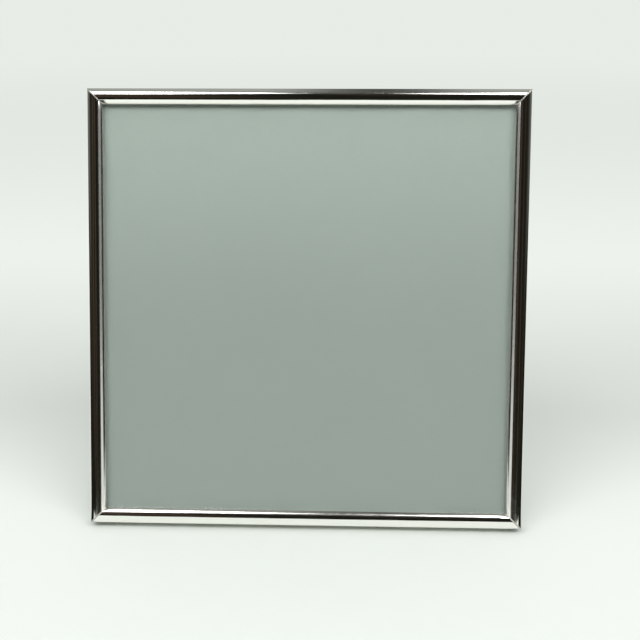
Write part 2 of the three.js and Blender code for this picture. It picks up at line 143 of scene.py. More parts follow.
class RailSizes(PropertyGroup):
    """Sizes of the frame and of its rails' section"""

    width: length("Width", "Outside width of the frame", 0.160)
    height: length("Height", "Outside height of the frame", 0.160)
    lean: angle("Lean", "How far the frame leans back", 13.5)
    depth: length("Depth", "Depth of the rails from crest to rear edge", 0.0097)
    strip: length("Strip", "Thickness of the strip that the rails are rolled from", 0.0007)
    crown_width: length("Crown width", "Width of the rails' rounded face", 0.0057)
    crown_rise: length("Crown rise", "From the crest back to where the crown's sides stand upright", 0.0014)
    ledge: length("Rebate ledge", "From the rails' inner edge to the rebate's wall", 0.0015)
    worn_width: length("Worn width", "Width of the hand-worn strip along the inner edge", 0.0009)
    worn_in: length("Worn reach", "From the inner edge to the far side of the worn strip", 0.0017)
    worn_level: share("Worn level", "Wear of the top and bottom rails, beside the side rails", 0.2)
    joint_gap: length("Joint gap", "Gap between the faces of a mitre", 0.00008)
    joint_ease: length("Joint easing", "How far the polished ends draw in at a mitre", 0.00014)
    joint_reach: length("Joint easing length", "Length of rail over which its end draws in", 0.00030)
    solder_radius: length("Solder radius", "Radius of the solder line in a mitre", 0.00016)
    edge: length("Edge radius", "Radius of the strip's cut edges and folds", 0.00014)
    rings: count("Rings", "Sections along each rail", 44)


class BackSizes(PropertyGroup):
    """Sizes of what lies in the rebate, and of the turn buttons"""

    pane_front: length("Pane front", "Depth of the front of the glass", 0.0024)
    pane_rear: length("Pane rear", "Depth of the rear of the glass", 0.0036)
    insert_margin: length("Insert margin", "From the frame's outer edge to the glass", 0.0045)
    seat_play: length("Seat play", "How far the glass and the sheet close up on their seats", 0.00028)
    cloth_margin: length("Cloth margin", "How far the velvet stays inside the glass's outline", 0.0004)
    cloth_front: length("Cloth front", "Depth at which the velvet lies on the board", 0.00845)
    cloth_rear: length("Cloth rear", "Depth of the velvet's pile", 0.00918)
    cloth_steps: count("Cloth steps", "Squares across the velvet", 120)
    button_width: length("Button width", "Width of a turn button", 0.0070)
    button_length: length("Button length", "Length of a turn button", 0.0159)
    button_front: length("Button front", "Depth of the button's front face", 0.0100)
    button_thickness: length("Button thickness", "Thickness of a turn button", 0.0008)
    button_reach: length("Button reach", "From the middle of the back to the button's rivet", 0.0665)
    button_spread: length("Button spread", "From the upper to the lower buttons' rivets", 0.0840)
    washer_radius: length("Washer radius", "Outer radius of the washers", 0.0034)
    washer_front: length("Washer front", "Depth of the washer's front face", 0.0093)
    washer_thickness: length("Washer thickness", "Thickness of the washers", 0.0004)
    rivet_radius: length("Rivet radius", "Radius of a rivet's shank", 0.0010)
    rivet_hole: length("Rivet hole", "Radius of the holes that the rivets pass", 0.0013)
    head_radius: length("Rivet head radius", "Radius of a rivet's head", 0.0021)
    head_height: length("Rivet head height", "Height of a rivet's head", 0.0009)
    button_seat: length("Button rivet seat", "Depth at which the heads of the buttons' rivets sit", 0.0111)
    edge: length("Edge easing", "Bevel on the edges of the glass and the sheet", 0.00008)
    rivet_tip: length("Rivet tip", "Depth at which the rivets end in the board", 0.0059)


class EaselSizes(PropertyGroup):
    """Sizes of the easel hinge and of the strut, laid out from the hinge pin"""

    pin_depth: length("Pin depth", "Depth of the hinge pin behind the crest", 0.01245)
    pin_height: length("Pin height", "Height of the hinge pin above the bottom edge", 0.1000)
    opening: angle("Opening", "Angle between the back and the open strut", 24.8)
    rivet_spread: length("Rivet spread", "Between the two rivets of a leaf", 0.0150)
    fixed_rise: length("Fixed rivet rise", "From the pin up to the rivets of the fixed leaf", 0.01105)
    strut_drop: length("Strut rivet drop", "From the pin down to the rivets of the strut leaf", 0.0140)
    fixed_seat: length("Fixed rivet seat", "Where the fixed leaf's rivet heads sit", -0.00215)
    strut_seat: length("Strut rivet seat", "Where the strut leaf's rivet heads sit", 0.00215)
    board_front: length("Board front", "Front face of the strut's board", -0.00225)
    board_rear: length("Board rear", "Rear face of the strut's board", 0.00015)
    cover_rear: length("Cover rear", "Rear face of the strut's velvet", 0.00104)
    cover_wrap: length("Cover wrap", "Thickness of the velvet round the board's sides", 0.00035)
    cover_edge: length("Cover edge", "Where the turned-over velvet ends on the board's sides", -0.00195)
    cover_round: length("Cover rounding", "Radius of the velvet's turned edge", 0.0007)
    top_width: length("Top width", "Width of the strut at the hinge", 0.0300)
    foot_width: length("Foot width", "Width of the strut at the foot", 0.0460)
    top_setback: length("Top setback", "Setback of the strut's upper corners", 0.0040)
    foot_setback: length("Foot setback", "Setback of the strut's lower corners", 0.0050)
    top_drop: length("Top drop", "From the pin down to the strut's top edge", 0.0027)
    reach: length("Reach", "From the pin to the table, along the strut", 0.0985)
    foot_rise: length("Foot rise", "Bare board left below the velvet", 0.0009)
    edge: length("Edge easing", "Bevel on the hinge's and keys' edges", 0.00010)


class Finishes(PropertyGroup):
    """Colours and wear of the materials"""

    silver: colour("Silver", "Polished silver plate", (0.97, 0.955, 0.92))
    # Also painted into the rails' inner fold as shade
    tarnish: colour("Tarnish", "Brown tarnish in the folds of the silver", (0.30, 0.22, 0.13))
    tarnish_amount: share("Tarnish amount", "How much of the silver has turned", 0.35)
    polish: share("Polish", "Roughness of the polished silver", 0.045)
    wear: share("Wear", "Roughness that wear adds along the rails' inner edge", 0.28)
    wear_high: share("Wear high up", "Wear in the upper half of the rails, beside that at the foot", 0.5)
    worn_base: share("Worn base", "How much of the dull base metal shows where the plate is worn", 0.40)
    solder: colour("Solder", "Solder in the mitres", (0.80, 0.77, 0.70))
    zinc: colour("Zinc", "Cast corner keys", (0.42, 0.43, 0.44))
    nickel: colour("Nickel", "Plated buttons, washers and rivets", (0.62, 0.60, 0.56))
    hinge_nickel: colour("Hinge nickel", "Plated hinge leaves and pin", (0.57, 0.56, 0.52))
    glass: colour("Glass", "Tint of the glass", (0.955, 0.985, 0.970))
    sheet: colour("Sheet", "Sheet behind the glass", (0.405, 0.443, 0.410))
    # Painted shade: how dark the sheet's lower part is painted, beside its top
    sheet_painted_shade: share("Sheet shade", "Level of the sheet's lower part, beside that of its top", 0.765)
    card: colour("Card", "Filler card", (0.46, 0.39, 0.28))
    board: colour("Board", "Pressed fibre board", (0.20, 0.115, 0.060))
    velvet: colour("Velvet", "Velvet in the hollows of its pile", (0.010, 0.0115, 0.0165))
    # Painted sheen: the lighter colour laid on the pile in random strokes, as if its tips caught light
    velvet_painted_sheen: colour("Velvet tips", "Velvet where the pile catches light", (0.030, 0.034, 0.046))


class StageSettings(PropertyGroup):
    """Camera, lamps, floor and room"""

    camera: FloatVectorProperty(
        name="Camera", description="Place of the camera", default=(0.0113, -0.4561, 0.2205),
        size=3, subtype="TRANSLATION", unit="LENGTH", precision=4,
    )
    azimuth: angle("Azimuth", "Direction that the camera looks in, from straight ahead", -2.61)
    elevation: angle("Elevation", "How far the camera looks down", 19.55)
    roll: angle("Roll", "How far the camera is turned about its view", -0.25)
    view_angle: angle("View angle", "Angle of the camera's view", 28.0)
    shift_x: share("Shift across", "Sideways shift of the lens", 0.06)
    shift_y: share("Shift up", "Upward shift of the lens", 0.06)
    floor_size: length("Floor size", "Half the width of the floor", 4.0)
    floor: colour("Floor", "Pale floor about the frame", (0.775, 0.818, 0.770))
    # Painted shade: the floor far in front, under the lamps, is painted darker
    floor_painted_shade_front: colour("Floor under the lamps", "Floor far in front", (0.480, 0.508, 0.476))
    # Painted shadow: the frame's soft shadow, painted on the floor close behind it
    floor_painted_shadow: colour("Floor behind", "Floor close behind the frame", (0.668, 0.706, 0.664))
    floor_beyond: colour("Floor beyond", "Floor further back", (0.830, 0.877, 0.825))
    floor_fade: length("Floor fade", "From the frame to where the floor turns into the backdrop", 1.6)
    backdrop: colour("Backdrop", "Pale background beyond the floor", (0.800, 0.845, 0.795))
    ambient: number("Ambient", "Level of the light from all round", 0.83)
    ambient_front: number("Ambient in front", "Level of the low light from the camera's side", 0.12)
    room: colour("Room", "Dark room behind the camera, as the silver shows it", (0.010, 0.010, 0.007))
    room_warm: colour("Warm room", "Brown things in the dark room", (0.050, 0.036, 0.026))
    overhead: colour("Overhead", "What the silver shows above, between the lamps", (0.065, 0.070, 0.065))
    overhead_sides: colour("Overhead sides", "What the silver shows above the lamps", (0.34, 0.36, 0.34))
    wall: colour("Wall", "What the silver shows of the room on both sides", (0.16, 0.17, 0.16))
    table_half: length("Table half width", "Half width of the table that the silver shows", 0.119)
    table_flare: number("Table flare", "Widening of that table to the front", 0.28)
    table_near_half: length("Near half width", "Half width from which it widens at the foot", 0.046)
    table_near_flare: number("Near flare", "Widening of that table at the foot", 1.28)
    table_front: length("Table front", "From the frame to the front edge of that table", 0.55)
    table_soft: length("Table softness", "Softness of the front edge of that table", 0.03)
    lamp_power: FloatProperty(
        name="Lamp power", description="Power of a lamp for each square metre", default=13.3, unit="POWER"
    )
    lamp_height: length("Lamp height", "Height of the lamps", 2.0)


class Value:
    """An output of a node; sums and products of values add math nodes"""

    def __init__(self, tree, node, socket=None):
        self.tree = tree
        self.node = node
        self.picked = socket

    @property
    def socket(self):
        if self.picked is not None:
            return self.picked
        return next(out for out in self.node.outputs if out.enabled)

    def __getitem__(self, name):
        socket = next(out for out in self.node.outputs if out.enabled and out.name == name)
        return Value(self.tree, self.node, socket)

    def __add__(self, other):
        return self.tree.math("ADD", self, other)

    def __sub__(self, other):
        return self.tree.math("SUBTRACT", self, other)

    def __rsub__(self, other):
        return self.tree.math("SUBTRACT", other, self)

    def __mul__(self, other):
        return self.tree.math("MULTIPLY", self, other)

    def __truediv__(self, other):
        return self.tree.math("DIVIDE", self, other)

    def __abs__(self):
        return self.tree.math("ABSOLUTE", self)

    __radd__ = __add__
    __rmul__ = __mul__

    def spread(self, low, high, to_low=0.0, to_high=1.0):
        """A soft step from `to_low` at `low` to `to_high` at `high`"""
        return self.tree.add("ShaderNodeMapRange", self, low, high, to_low, to_high,
                             interpolation_type="SMOOTHSTEP")

    def fill(self, values):
        """Sets or links the node's inputs by their names"""
        for name, value in values.items():
            socket = next(socket for socket in self.node.inputs if socket.enabled and socket.name == name)
            self.tree.put(socket, value)
        return self


class Tree:
    """Adds nodes to a node tree, each with its inputs in order, as plain values or as links"""

    def __init__(self, tree):
        self.tree = tree
        self.tree.nodes.clear()

    def add(self, kind, *inputs, **settings):
        made = self.tree.nodes.new(kind)
        for key, value in settings.items():
            setattr(made, key, value)
        sockets = [socket for socket in made.inputs if socket.enabled]
        for socket, value in zip(sockets, inputs):
            self.put(socket, value)
        return Value(self, made)

    def put(self, socket, value):
        if isinstance(value, Value):
            self.tree.links.new(value.socket, socket)
        else:
            socket.default_value = value

    def close(self, *outputs):
        """Ends a node group in its outputs"""
        self.add("NodeGroupOutput", *outputs)
        return self.tree

    def math(self, operation, *inputs):
        return self.add("ShaderNodeMath", *inputs, operation=operation)

    def vector(self, operation, *inputs):
        return self.add("ShaderNodeVectorMath", *inputs, operation=operation)

    def together(self, x, y, z):
        return self.add("ShaderNodeCombineXYZ", x, y, z)

    def apart(self, vector):
        return self.add("ShaderNodeSeparateXYZ", vector)

    def mix(self, factor, low, high, blend="MIX"):
        return self.add("ShaderNodeMix", factor, low, high, data_type="RGBA", blend_type=blend)

    def noise(self, vector, scale, detail=3.0, roughness=0.6):
        return self.add("ShaderNodeTexNoise", vector, scale, detail, roughness)

    def object_space(self):
        return self.add("ShaderNodeTexCoord")["Object"]

    def kept(self, name, part="Fac"):
        """What a mesh keeps on its points, in a material"""
        return self.add("ShaderNodeAttribute", attribute_name=name)[part]

    def effect(self, name, *inputs):
        """A shared node group, made when it is first asked for"""
        group = bpy.data.node_groups.get(name) or EFFECTS[name]()
        return self.add("ShaderNodeGroup", *inputs, node_tree=group)

    def named(self, name, kind="FLOAT"):
        """What a mesh keeps on its points, in a geometry tree"""
        return self.add("GeometryNodeInputNamedAttribute", name, data_type=kind)

    def store(self, geometry, name, value, kind="FLOAT"):
        made = self.add("GeometryNodeStoreNamedAttribute", geometry, data_type=kind, domain="POINT")
        return made.fill({"Name": name, "Value": value})

    def place(self, geometry, position):
        return self.add("GeometryNodeSetPosition", geometry).fill({"Position": position})

    def line(self, points, step=(0, 0, 0)):
        return self.add("GeometryNodeMeshLine", points, mode="OFFSET").fill({"Offset": step})

    def sweep(self, path, profile):
        return self.add("GeometryNodeCurveToMesh", path, profile).fill({"Fill Caps": True})

    def copies(self, points, body):
        return self.add("GeometryNodeInstanceOnPoints", points).fill({"Instance": body})


NUMBER = "NodeSocketFloat"
COUNT = "NodeSocketInt"
VECTOR = "NodeSocketVector"
COLOUR = "NodeSocketColor"
GEOMETRY = "NodeSocketGeometry"
FINISH = "NodeSocketMaterial"


def node_group(name, kind, inputs, outputs):
    """An empty node group with named sockets, and what comes in through them"""
    group = bpy.data.node_groups.new(name, kind)
    for way, sockets in (("INPUT", inputs), ("OUTPUT", outputs)):
        for label, socket in sockets.items():
            group.interface.new_socket(label, in_out=way, socket_type=socket)
    tree = Tree(group)
    return tree, tree.add("NodeGroupInput")


def shape_tree(name, numbers):
    """An empty geometry tree with a geometry and a material input, and named numbers"""
    inputs = {"Geometry": GEOMETRY, **numbers, "Finish": FINISH}
    return node_group(name, "GeometryNodeTree", inputs, {"Geometry": GEOMETRY})


def close_shape(tree, geometry, finish):
    """Ends a geometry tree in real, finished faces"""
    real = tree.add("GeometryNodeRealizeInstances", geometry)
    return tree.close(tree.add("GeometryNodeSetMaterial", real).fill({"Material": finish}))


def rail_tree():
    """A section run along x, with mitred ends that draw in a little"""
    tree, given = shape_tree("mitred_rail", {
        "Length": NUMBER, "Joint Gap": NUMBER, "Joint Easing": NUMBER, "Easing Length": NUMBER,
        "Rings": COUNT,
    })
    half = given["Length"] * 0.5
    index = tree.add("GeometryNodeInputIndex")
    inner = (index - 1) / (given["Rings"] - 3) * 2 - 1
    body = inner * (1 - given["Easing Length"] / half)
    capped = tree.math("MINIMUM", tree.math("MAXIMUM", inner, -1.0), 1.0)
    beyond = tree.math("GREATER_THAN", abs(inner), 1.0001)
    line = tree.store(tree.line(given["Rings"], (MM, 0, 0)), "station", capped * beyond + body * (1 - beyond))
    path = tree.add("GeometryNodeMeshToCurve", tree.store(line, "rim", beyond))
    swept = tree.sweep(path, tree.add("GeometryNodeMeshToCurve", given["Geometry"]))
    drawn_in = tree.vector("SCALE", tree.named("inset", "FLOAT_VECTOR"))
    drawn_in.fill({"Scale": tree.named("rim") * given["Joint Easing"]})
    section = tree.apart(tree.vector("ADD", tree.named("section", "FLOAT_VECTOR"), drawn_in))
    setback = given["Joint Gap"] / math.sqrt(2)
    along = tree.named("station") * (half - section["X"] - setback)
    placed = tree.place(swept, tree.together(along, section["Y"], section["X"]))
    lay = tree.together(along, tree.named("around"), 0.0)
    return close_shape(tree, tree.store(placed, "lay", lay, "FLOAT_VECTOR"), given["Finish"])


def seam_tree():
    """A bead along a path, in all four corners of the frame"""
    tree, given = shape_tree("corner_solder", {"Radius": NUMBER, "Sides": COUNT})
    path = tree.add("GeometryNodeMeshToCurve", given["Geometry"])
    bead = tree.add("GeometryNodeCurvePrimitiveCircle", given["Sides"]).fill({"Radius": given["Radius"]})
    index = tree.add("GeometryNodeInputIndex")
    odd = tree.math("MODULO", index, 2)
    upper = tree.math("FLOOR", index / 2)
    copies = tree.copies(tree.line(4), tree.sweep(path, bead))
    copies.fill({"Scale": tree.together(1 - odd * 2, 1.0, 1 - upper * 2)})
    return close_shape(tree, copies, given["Finish"])


def turned_tree():
    """A turned piece, its profile spun round y, set out in even rows in x and z"""
    tree, given = shape_tree("turned_rows", {
        "Across": COUNT, "Down": COUNT, "Spread Across": NUMBER, "Spread Down": NUMBER,
        "Height": NUMBER, "Facets": COUNT,
    })
    index = tree.add("GeometryNodeInputIndex")
    ring = tree.add("GeometryNodeCurvePrimitiveCircle", given["Facets"])
    ring = tree.store(ring, "turn", index / given["Facets"] * (2 * math.pi))
    spun = tree.sweep(ring, tree.add("GeometryNodeMeshToCurve", given["Geometry"]))
    section = tree.apart(tree.named("section", "FLOAT_VECTOR"))
    turn = tree.named("turn")
    x = section["X"] * tree.math("COSINE", turn)
    z = section["X"] * tree.math("SINE", turn)
    shaped = tree.place(spun, tree.together(x, section["Y"], z))

    def set_out(step, rows, spread):
        return (step - (rows - 1) * 0.5) * spread

    column = tree.math("MODULO", index, given["Across"])
    row = tree.math("FLOOR", index / given["Across"])
    across = set_out(column, given["Across"], given["Spread Across"])
    up = given["Height"] + set_out(row, given["Down"], given["Spread Down"])
    spots = tree.place(tree.line(given["Across"] * given["Down"]), tree.together(across, 0.0, up))
    return close_shape(tree, tree.copies(spots, shaped), given["Finish"])


SHAPE_TREES = {"mitred_rail": rail_tree, "corner_solder": seam_tree, "turned_rows": turned_tree}


def show(obj):
    """Puts an object in the scene"""
    bpy.context.scene.collection.objects.link(obj)
    return obj


def grow(obj, tree_name, values, place, sharp_angle):
    """Makes an object's plain mesh with a geometry tree: closed, in its place and smooth"""
    tree = bpy.data.node_groups.get(tree_name) or SHAPE_TREES[tree_name]()
    modifier = obj.modifiers.new(tree_name, "NODES")
    modifier.node_group = tree
    for item in tree.interface.items_tree:
        if item.item_type == "SOCKET" and item.in_out == "INPUT" and item.name in values:
            modifier[item.identifier] = values[item.name]
    settle(show(obj))
    work = bmesh.new()
    work.from_mesh(obj.data)
    bmesh.ops.remove_doubles(work, verts=work.verts, dist=MERGE)
    bmesh.ops.dissolve_degenerate(work, edges=work.edges, dist=MERGE / 2)
    bmesh.ops.transform(work, matrix=place, verts=work.verts)
    bmesh.ops.recalc_face_normals(work, faces=work.faces)
    work.to_mesh(obj.data)
    work.free()
    return smooth(obj, sharp_angle)


def settle(obj):
    """Applies an object's modifiers to its mesh, removes them and drops empty material slots"""
    view = bpy.context.evaluated_depsgraph_get()
    view.update()
    mesh = bpy.data.meshes.new_from_object(
        obj.evaluated_get(view), preserve_all_data_layers=True, depsgraph=view
    )
    mesh.name = obj.name
    finish = [material for material in mesh.materials if material]
    mesh.materials.clear()
    for material in finish:
        mesh.materials.append(material)
    obj.modifiers.clear()
    obj.data = mesh


def wire(name, points, closed, extra=()):
    """An object of edges only, with the section and other values kept on its points"""
    mesh = bpy.data.meshes.new(name)
    edges = [(i, i + 1) for i in range(len(points) - 1)]
    if closed:
        edges.append((len(points) - 1, 0))
    mesh.from_pydata([(x, y, 0) for x, y in points], edges, [])
    section = [value for x, y in points for value in (x, y, 0)]
    for label, kind, values in (("section", "FLOAT_VECTOR", section), *extra):
        layer = mesh.attributes.new(label, kind, "POINT")
        layer.data.foreach_set("vector" if kind == "FLOAT_VECTOR" else "value", values)
    return bpy.data.objects.new(name, mesh)


def smooth(obj, sharp_angle=35.0):
    """Smooth shading that keeps flat faces flat and real edges sharp"""
    mesh = obj.data
    mesh.polygons.foreach_set("use_smooth", [True] * len(mesh.polygons))
    mesh.set_sharp_from_angle(angle=math.radians(sharp_angle))
    weigh = obj.modifiers.new("even", "WEIGHTED_NORMAL")
    weigh.keep_sharp = True
    weigh.weight = 80
    settle(obj)
    return obj


def body_from(work, name, place=Matrix()):
    """Makes an object of a bmesh, with outward faces, in its place"""
    bmesh.ops.recalc_face_normals(work, faces=work.faces)
    bmesh.ops.transform(work, matrix=place, verts=work.verts)
    mesh = bpy.data.meshes.new(name)
    work.to_mesh(mesh)
    work.free()
    return show(bpy.data.objects.new(name, mesh))


def eased_copy(node, name, bevel):
    """A copy of a CAD node's mesh, merged, with its sharp edges bevelled"""
    work = bmesh.new()
    work.from_mesh(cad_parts[node].data)
    bmesh.ops.remove_doubles(work, verts=work.verts, dist=1e-6)
    bmesh.ops.dissolve_limit(
        work, angle_limit=math.radians(1.0), verts=work.verts, edges=work.edges
    )
    obj = body_from(work, name)
    cut = obj.modifiers.new("ease", "BEVEL")
    cut.width = bevel
    cut.segments = 2
    cut.limit_method = "ANGLE"
    cut.angle_limit = math.radians(35)
    cut.use_clamp_overlap = True
    settle(obj)
    return smooth(obj)


def coat(obj, finish):
    """Gives an object the one finish"""
    obj.data.materials.clear()
    obj.data.materials.append(finish_named(finish))


def ready(obj, body, nodes, finish=None):
    """Hands a finished piece over: its finish, its body and the nodes that it stands for"""
    if finish:
        coat(obj, finish)
    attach(obj, body)
    if nodes:
        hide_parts(*nodes)


def upright_place():
    """From the upright frame to the frame as it leans, found from the glass"""
    rails = bpy.context.scene.frame_rails
    back = bpy.context.scene.frame_back
    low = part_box("glass_pane")[0]
    turn = Matrix.Rotation(-rails.lean, 4, "X")
    front_foot = turn @ Vector((0, back.pane_front, back.insert_margin))
    rear_foot = turn @ Vector((0, back.pane_rear, back.insert_margin))
    return Matrix.Translation((0, low[1] - front_foot.y, low[2] - rear_foot.z)) @ turn


def middle_place():
    """From the middle of the upright frame to the frame as it leans"""
    return upright_place() @ Matrix.Translation((0, 0, bpy.context.scene.frame_rails.height / 2))


def pin_place(opening=0.0):
    """From the hinge pin's own frame to the frame as it leans, opened by an angle"""
    easel = bpy.context.scene.frame_easel
    pin = Matrix.Translation((0, easel.pin_depth, easel.pin_height))
    return upright_place() @ pin @ Matrix.Rotation(opening, 4, "X")


def arc(middle, radius, start, end, steps, first=0):
    """Points along an arc, angles in degrees"""
    points = []
    for i in range(first, steps + 1):
        turn = math.radians(start + (end - start) * i / steps)
        points.append((middle[0] + radius * math.cos(turn), middle[1] + radius * math.sin(turn)))
    return points


def drawn_corner(start, corner, end, steps):
    """Points of the curve from `start` to `end` that leaves and arrives along a corner's sides"""
    points = []
    for i in range(steps + 1):
        t = i / steps
        spot = start * (1 - t) ** 2 + corner * 2 * t * (1 - t) + end * t**2
        points.append((spot.x, spot.y))
    return points


def eased(points, radius, steps=4):
    """A closed outline whose sharp corners are replaced by small curves"""
    result = []
    for i, here in enumerate(points):
        spot = Vector(here)
        before = Vector(points[i - 1]) - spot
        after = Vector(points[(i + 1) % len(points)]) - spot
        bend = before.angle(-after)
        if math.degrees(bend) < SHARP_BEND:
            result.append(here)
            continue
        cut = min(radius * math.tan(bend / 2), before.length * 0.45, after.length * 0.45)
        start = spot + before.normalized() * cut
        result += drawn_corner(start, spot, spot + after.normalized() * cut, steps)
    return result


def outward(points):
    """Unit normals of an anticlockwise outline, pointing out of it, stretched at corners"""
    normals = []
    for i, point in enumerate(points):
        into = Vector(point) - Vector(points[i - 1])
        out = Vector(points[(i + 1) % len(points)]) - Vector(point)
        first = Vector((into.y, -into.x)).normalized()
        second = Vector((out.y, -out.x)).normalized()
        normals.append((first + second) / max(0.3, 1 + first.dot(second)))
    return normals


def rail_outline(sizes):
    """The strip's section in x, inward from the outer edge, and y, to the rear"""
    strip, width, rise = sizes.strip, sizes.crown_width, sizes.crown_rise
    crest = width / 2
    run = crest - strip
    drop = rise - strip
    inner = (run ** 2 + drop ** 2) / (2 * drop)
    slope = math.degrees(math.asin(run / inner))
    wall = width - sizes.ledge
    channel = wall - strip
    under = math.degrees(math.acos((channel - crest) / inner))
    middle = (crest, inner + strip)
    points = [(0, sizes.depth)]
    points += arc((strip, rise), strip, 180, 270 - slope, 14)
    points += arc(middle, inner + strip, 270 - slope, 270 + slope, 44, first=1)
    points += arc((width - strip, rise), strip, 270 + slope, 450, 28, first=1)
    points += [(wall, rise + strip), (wall, sizes.depth), (channel, sizes.depth)]
    points += arc(middle, inner, -under, -90 - slope, 16)
    points.append((strip, sizes.depth))
    return eased(points, sizes.edge)


def rail_normals(outline):
    """Normals of the rail's section, out of the metal whichever way the outline runs"""
    area = sum(a[0] * b[1] - b[0] * a[1] for a, b in zip(outline, outline[1:] + outline[:1]))
    return [normal * math.copysign(1, area) for normal in outward(outline)]


def ramp(value, low, high):
    """A soft step from 0 at `low` to 1 at `high`"""
    part = min(1.0, max(0.0, (value - low) / (high - low)))
    return part * part * (3 - 2 * part)


def distance_around(points):
    """How far round an outline each of its points is"""
    travelled = [0.0]
    for before, here in zip(points, points[1:]):
        travelled.append(travelled[-1] + (Vector(here) - Vector(before)).length)
    return travelled


def stack(loops, rings):
    """A closed body: outlines in x and z, run through rings of inset and depth, and capped"""
    work = bmesh.new()
    normals = [outward(loop) for loop in loops]
    tiers = []
    for inset, depth in rings:
        tiers.append([
            [work.verts.new((x - face.x * inset, depth, z - face.y * inset))
             for (x, z), face in zip(loop, faces)]
            for loop, faces in zip(loops, normals)
        ])
    for lower, upper in zip(tiers, tiers[1:]):
        for below, above in zip(lower, upper):
            for i in range(len(below)):
                work.faces.new((below[i - 1], below[i], above[i], above[i - 1]))
    for tier in (tiers[0], tiers[-1]):
        flat = [vert for loop in tier for vert in loop]
        outlines = [[Vector((vert.co.x, vert.co.z, 0)) for vert in loop] for loop in tier]
        for corners in tessellate_polygon(outlines):
            work.faces.new([flat[i] for i in corners])
    return work


def rim(front, rear, ease, steps=3):
    """Rings of a plate between two depths, with its rims rounded"""
    rings = []
    for i in range(steps + 1):
        turn = QUARTER * i / steps
        rings.append((ease * (1 - math.sin(turn)), front + ease * (1 - math.cos(turn))))
    return rings + [(inset, front + rear - depth) for inset, depth in reversed(rings)]


def effect(name, inputs, outputs):
    """An empty shader node group with named sockets"""
    return node_group(name, "ShaderNodeTree", inputs, outputs)


def fine_scratches():
    """Hairlines along x of the pattern's own space, and the soft haze of handling"""
    tree, given = effect("fine_scratches", {"Vector": VECTOR, "Scale": NUMBER, "Stretch": NUMBER},
                         {"Lines": NUMBER, "Haze": NUMBER})
    place, scale = given["Vector"], given["Scale"]
    drawn = tree.vector("MULTIPLY", place, tree.together(scale, scale * given["Stretch"], scale))
    lines = tree.noise(drawn, 1.0, 4.0, 0.7)
    haze = tree.noise(place, scale * 4.0, 4.0)
    return tree.close(lines.spread(0.35, 0.75), haze.spread(0.4, 0.8))


def aged_plate():
    """Tarnish that gathers in folds and drifts over the faces; on the rails the fold mask also carries
    painted shade
    """
    tree, given = effect(
        "aged_plate",
        {"Vector": VECTOR, "Fold": NUMBER, "Amount": NUMBER, "Clean": COLOUR, "Tarnish": COLOUR},
        {"Color": COLOUR, "Mask": NUMBER},
    )
    drift = tree.noise(given["Vector"], 60.0, 5.0)
    spots = tree.noise(given["Vector"], 900.0)
    faces = drift.spread(0.52, 0.85) * 0.35
    folds = given["Fold"] * drift.spread(0.2, 0.7, 0.35, 1.0)
    mask = tree.math("MAXIMUM", faces, folds) * spots.spread(0.3, 0.7, 0.6, 1.0) * given["Amount"]
    return tree.close(tree.mix(mask, given["Clean"], given["Tarnish"]), mask)


def stray_dust():
    """Sparse specks of dust"""
    tree, given = effect("stray_dust", {"Vector": VECTOR, "Scale": NUMBER, "Size": NUMBER, "Share": NUMBER},
                         {"Mask": NUMBER})
    cells = tree.add("ShaderNodeTexVoronoi", given["Vector"], given["Scale"], feature="F1")
    near = cells["Distance"].spread(given["Size"], given["Size"] * 0.5)
    chance = tree.add("ShaderNodeSeparateColor", cells["Color"])
    return tree.close(near * tree.math("LESS_THAN", chance, given["Share"]))


def pressed_fibre():
    """Mottled fibres of paper, card and board"""
    tree, given = effect(
        "pressed_fibre", {"Vector": VECTOR, "Scale": NUMBER, "Contrast": NUMBER, "Color": COLOUR},
        {"Color": COLOUR, "Height": NUMBER},
    )
    clouds = tree.noise(given["Vector"], given["Scale"] * 0.08, 4.0)
    fibres = tree.noise(given["Vector"], given["Scale"], 6.0, 0.7)
    bright = 1 + (clouds * 0.5 + fibres * 0.5 - 0.5) * given["Contrast"]
    tint = tree.add("ShaderNodeCombineColor", bright, bright, bright)
    return tree.close(tree.mix(1.0, given["Color"], tint, "MULTIPLY"), fibres)


def brushed_pile():
    """Short pile, stroked this way and that, its lighter strokes a painted sheen of pile tips catching light
    """
    tree, given = effect(
        "brushed_pile",
        {"Vector": VECTOR, "Fibre Scale": NUMBER, "Stroke Scale": NUMBER, "Hollow": COLOUR, "Painted Sheen": COLOUR},
        {"Color": COLOUR, "Height": NUMBER},
    )
    fibres = tree.noise(given["Vector"], given["Fibre Scale"], 3.0, 0.7)
    tufts = tree.noise(given["Vector"], given["Fibre Scale"] * 0.22)
    stroked = tree.vector("MULTIPLY", given["Vector"], (1.0, 1.0, 0.35))
    strokes = tree.noise(stroked, given["Stroke Scale"], 3.0, 0.5)
    # Painted sheen: where this mask is high the pile is painted lighter, as if its tips caught light
    painted_shading = (fibres * 0.45 + tufts * 0.2 + strokes * 0.45).spread(0.38, 0.74)
    return tree.close(tree.mix(painted_shading, given["Hollow"], given["Painted Sheen"]), fibres * 0.7 + tufts * 0.5)


EFFECTS = {
    "fine_scratches": fine_scratches,
    "aged_plate": aged_plate,
    "stray_dust": stray_dust,
    "pressed_fibre": pressed_fibre,
    "brushed_pile": brushed_pile,
}


def full(value):
    """A colour with its alpha"""
    return (*value, 1.0)


def grey(level):
    """A grey with its alpha"""
    return (level, level, level, 1.0)


def plain_material(name):
    """A new material: its tree, its Principled shader and its output"""
    material = bpy.data.materials.new(name)
    material.use_nodes = True
    tree = Tree(material.node_tree)
    shader = tree.add("ShaderNodeBsdfPrincipled")
    return tree, shader, tree.add("ShaderNodeOutputMaterial", shader)


def bump(tree, height, strength, distance, **under):
    """Relief from a height, on top of another normal where one is given"""
    values = {"Strength": strength, "Distance": distance, "Height": height, **under}
    return tree.add("ShaderNodeBump").fill(values)


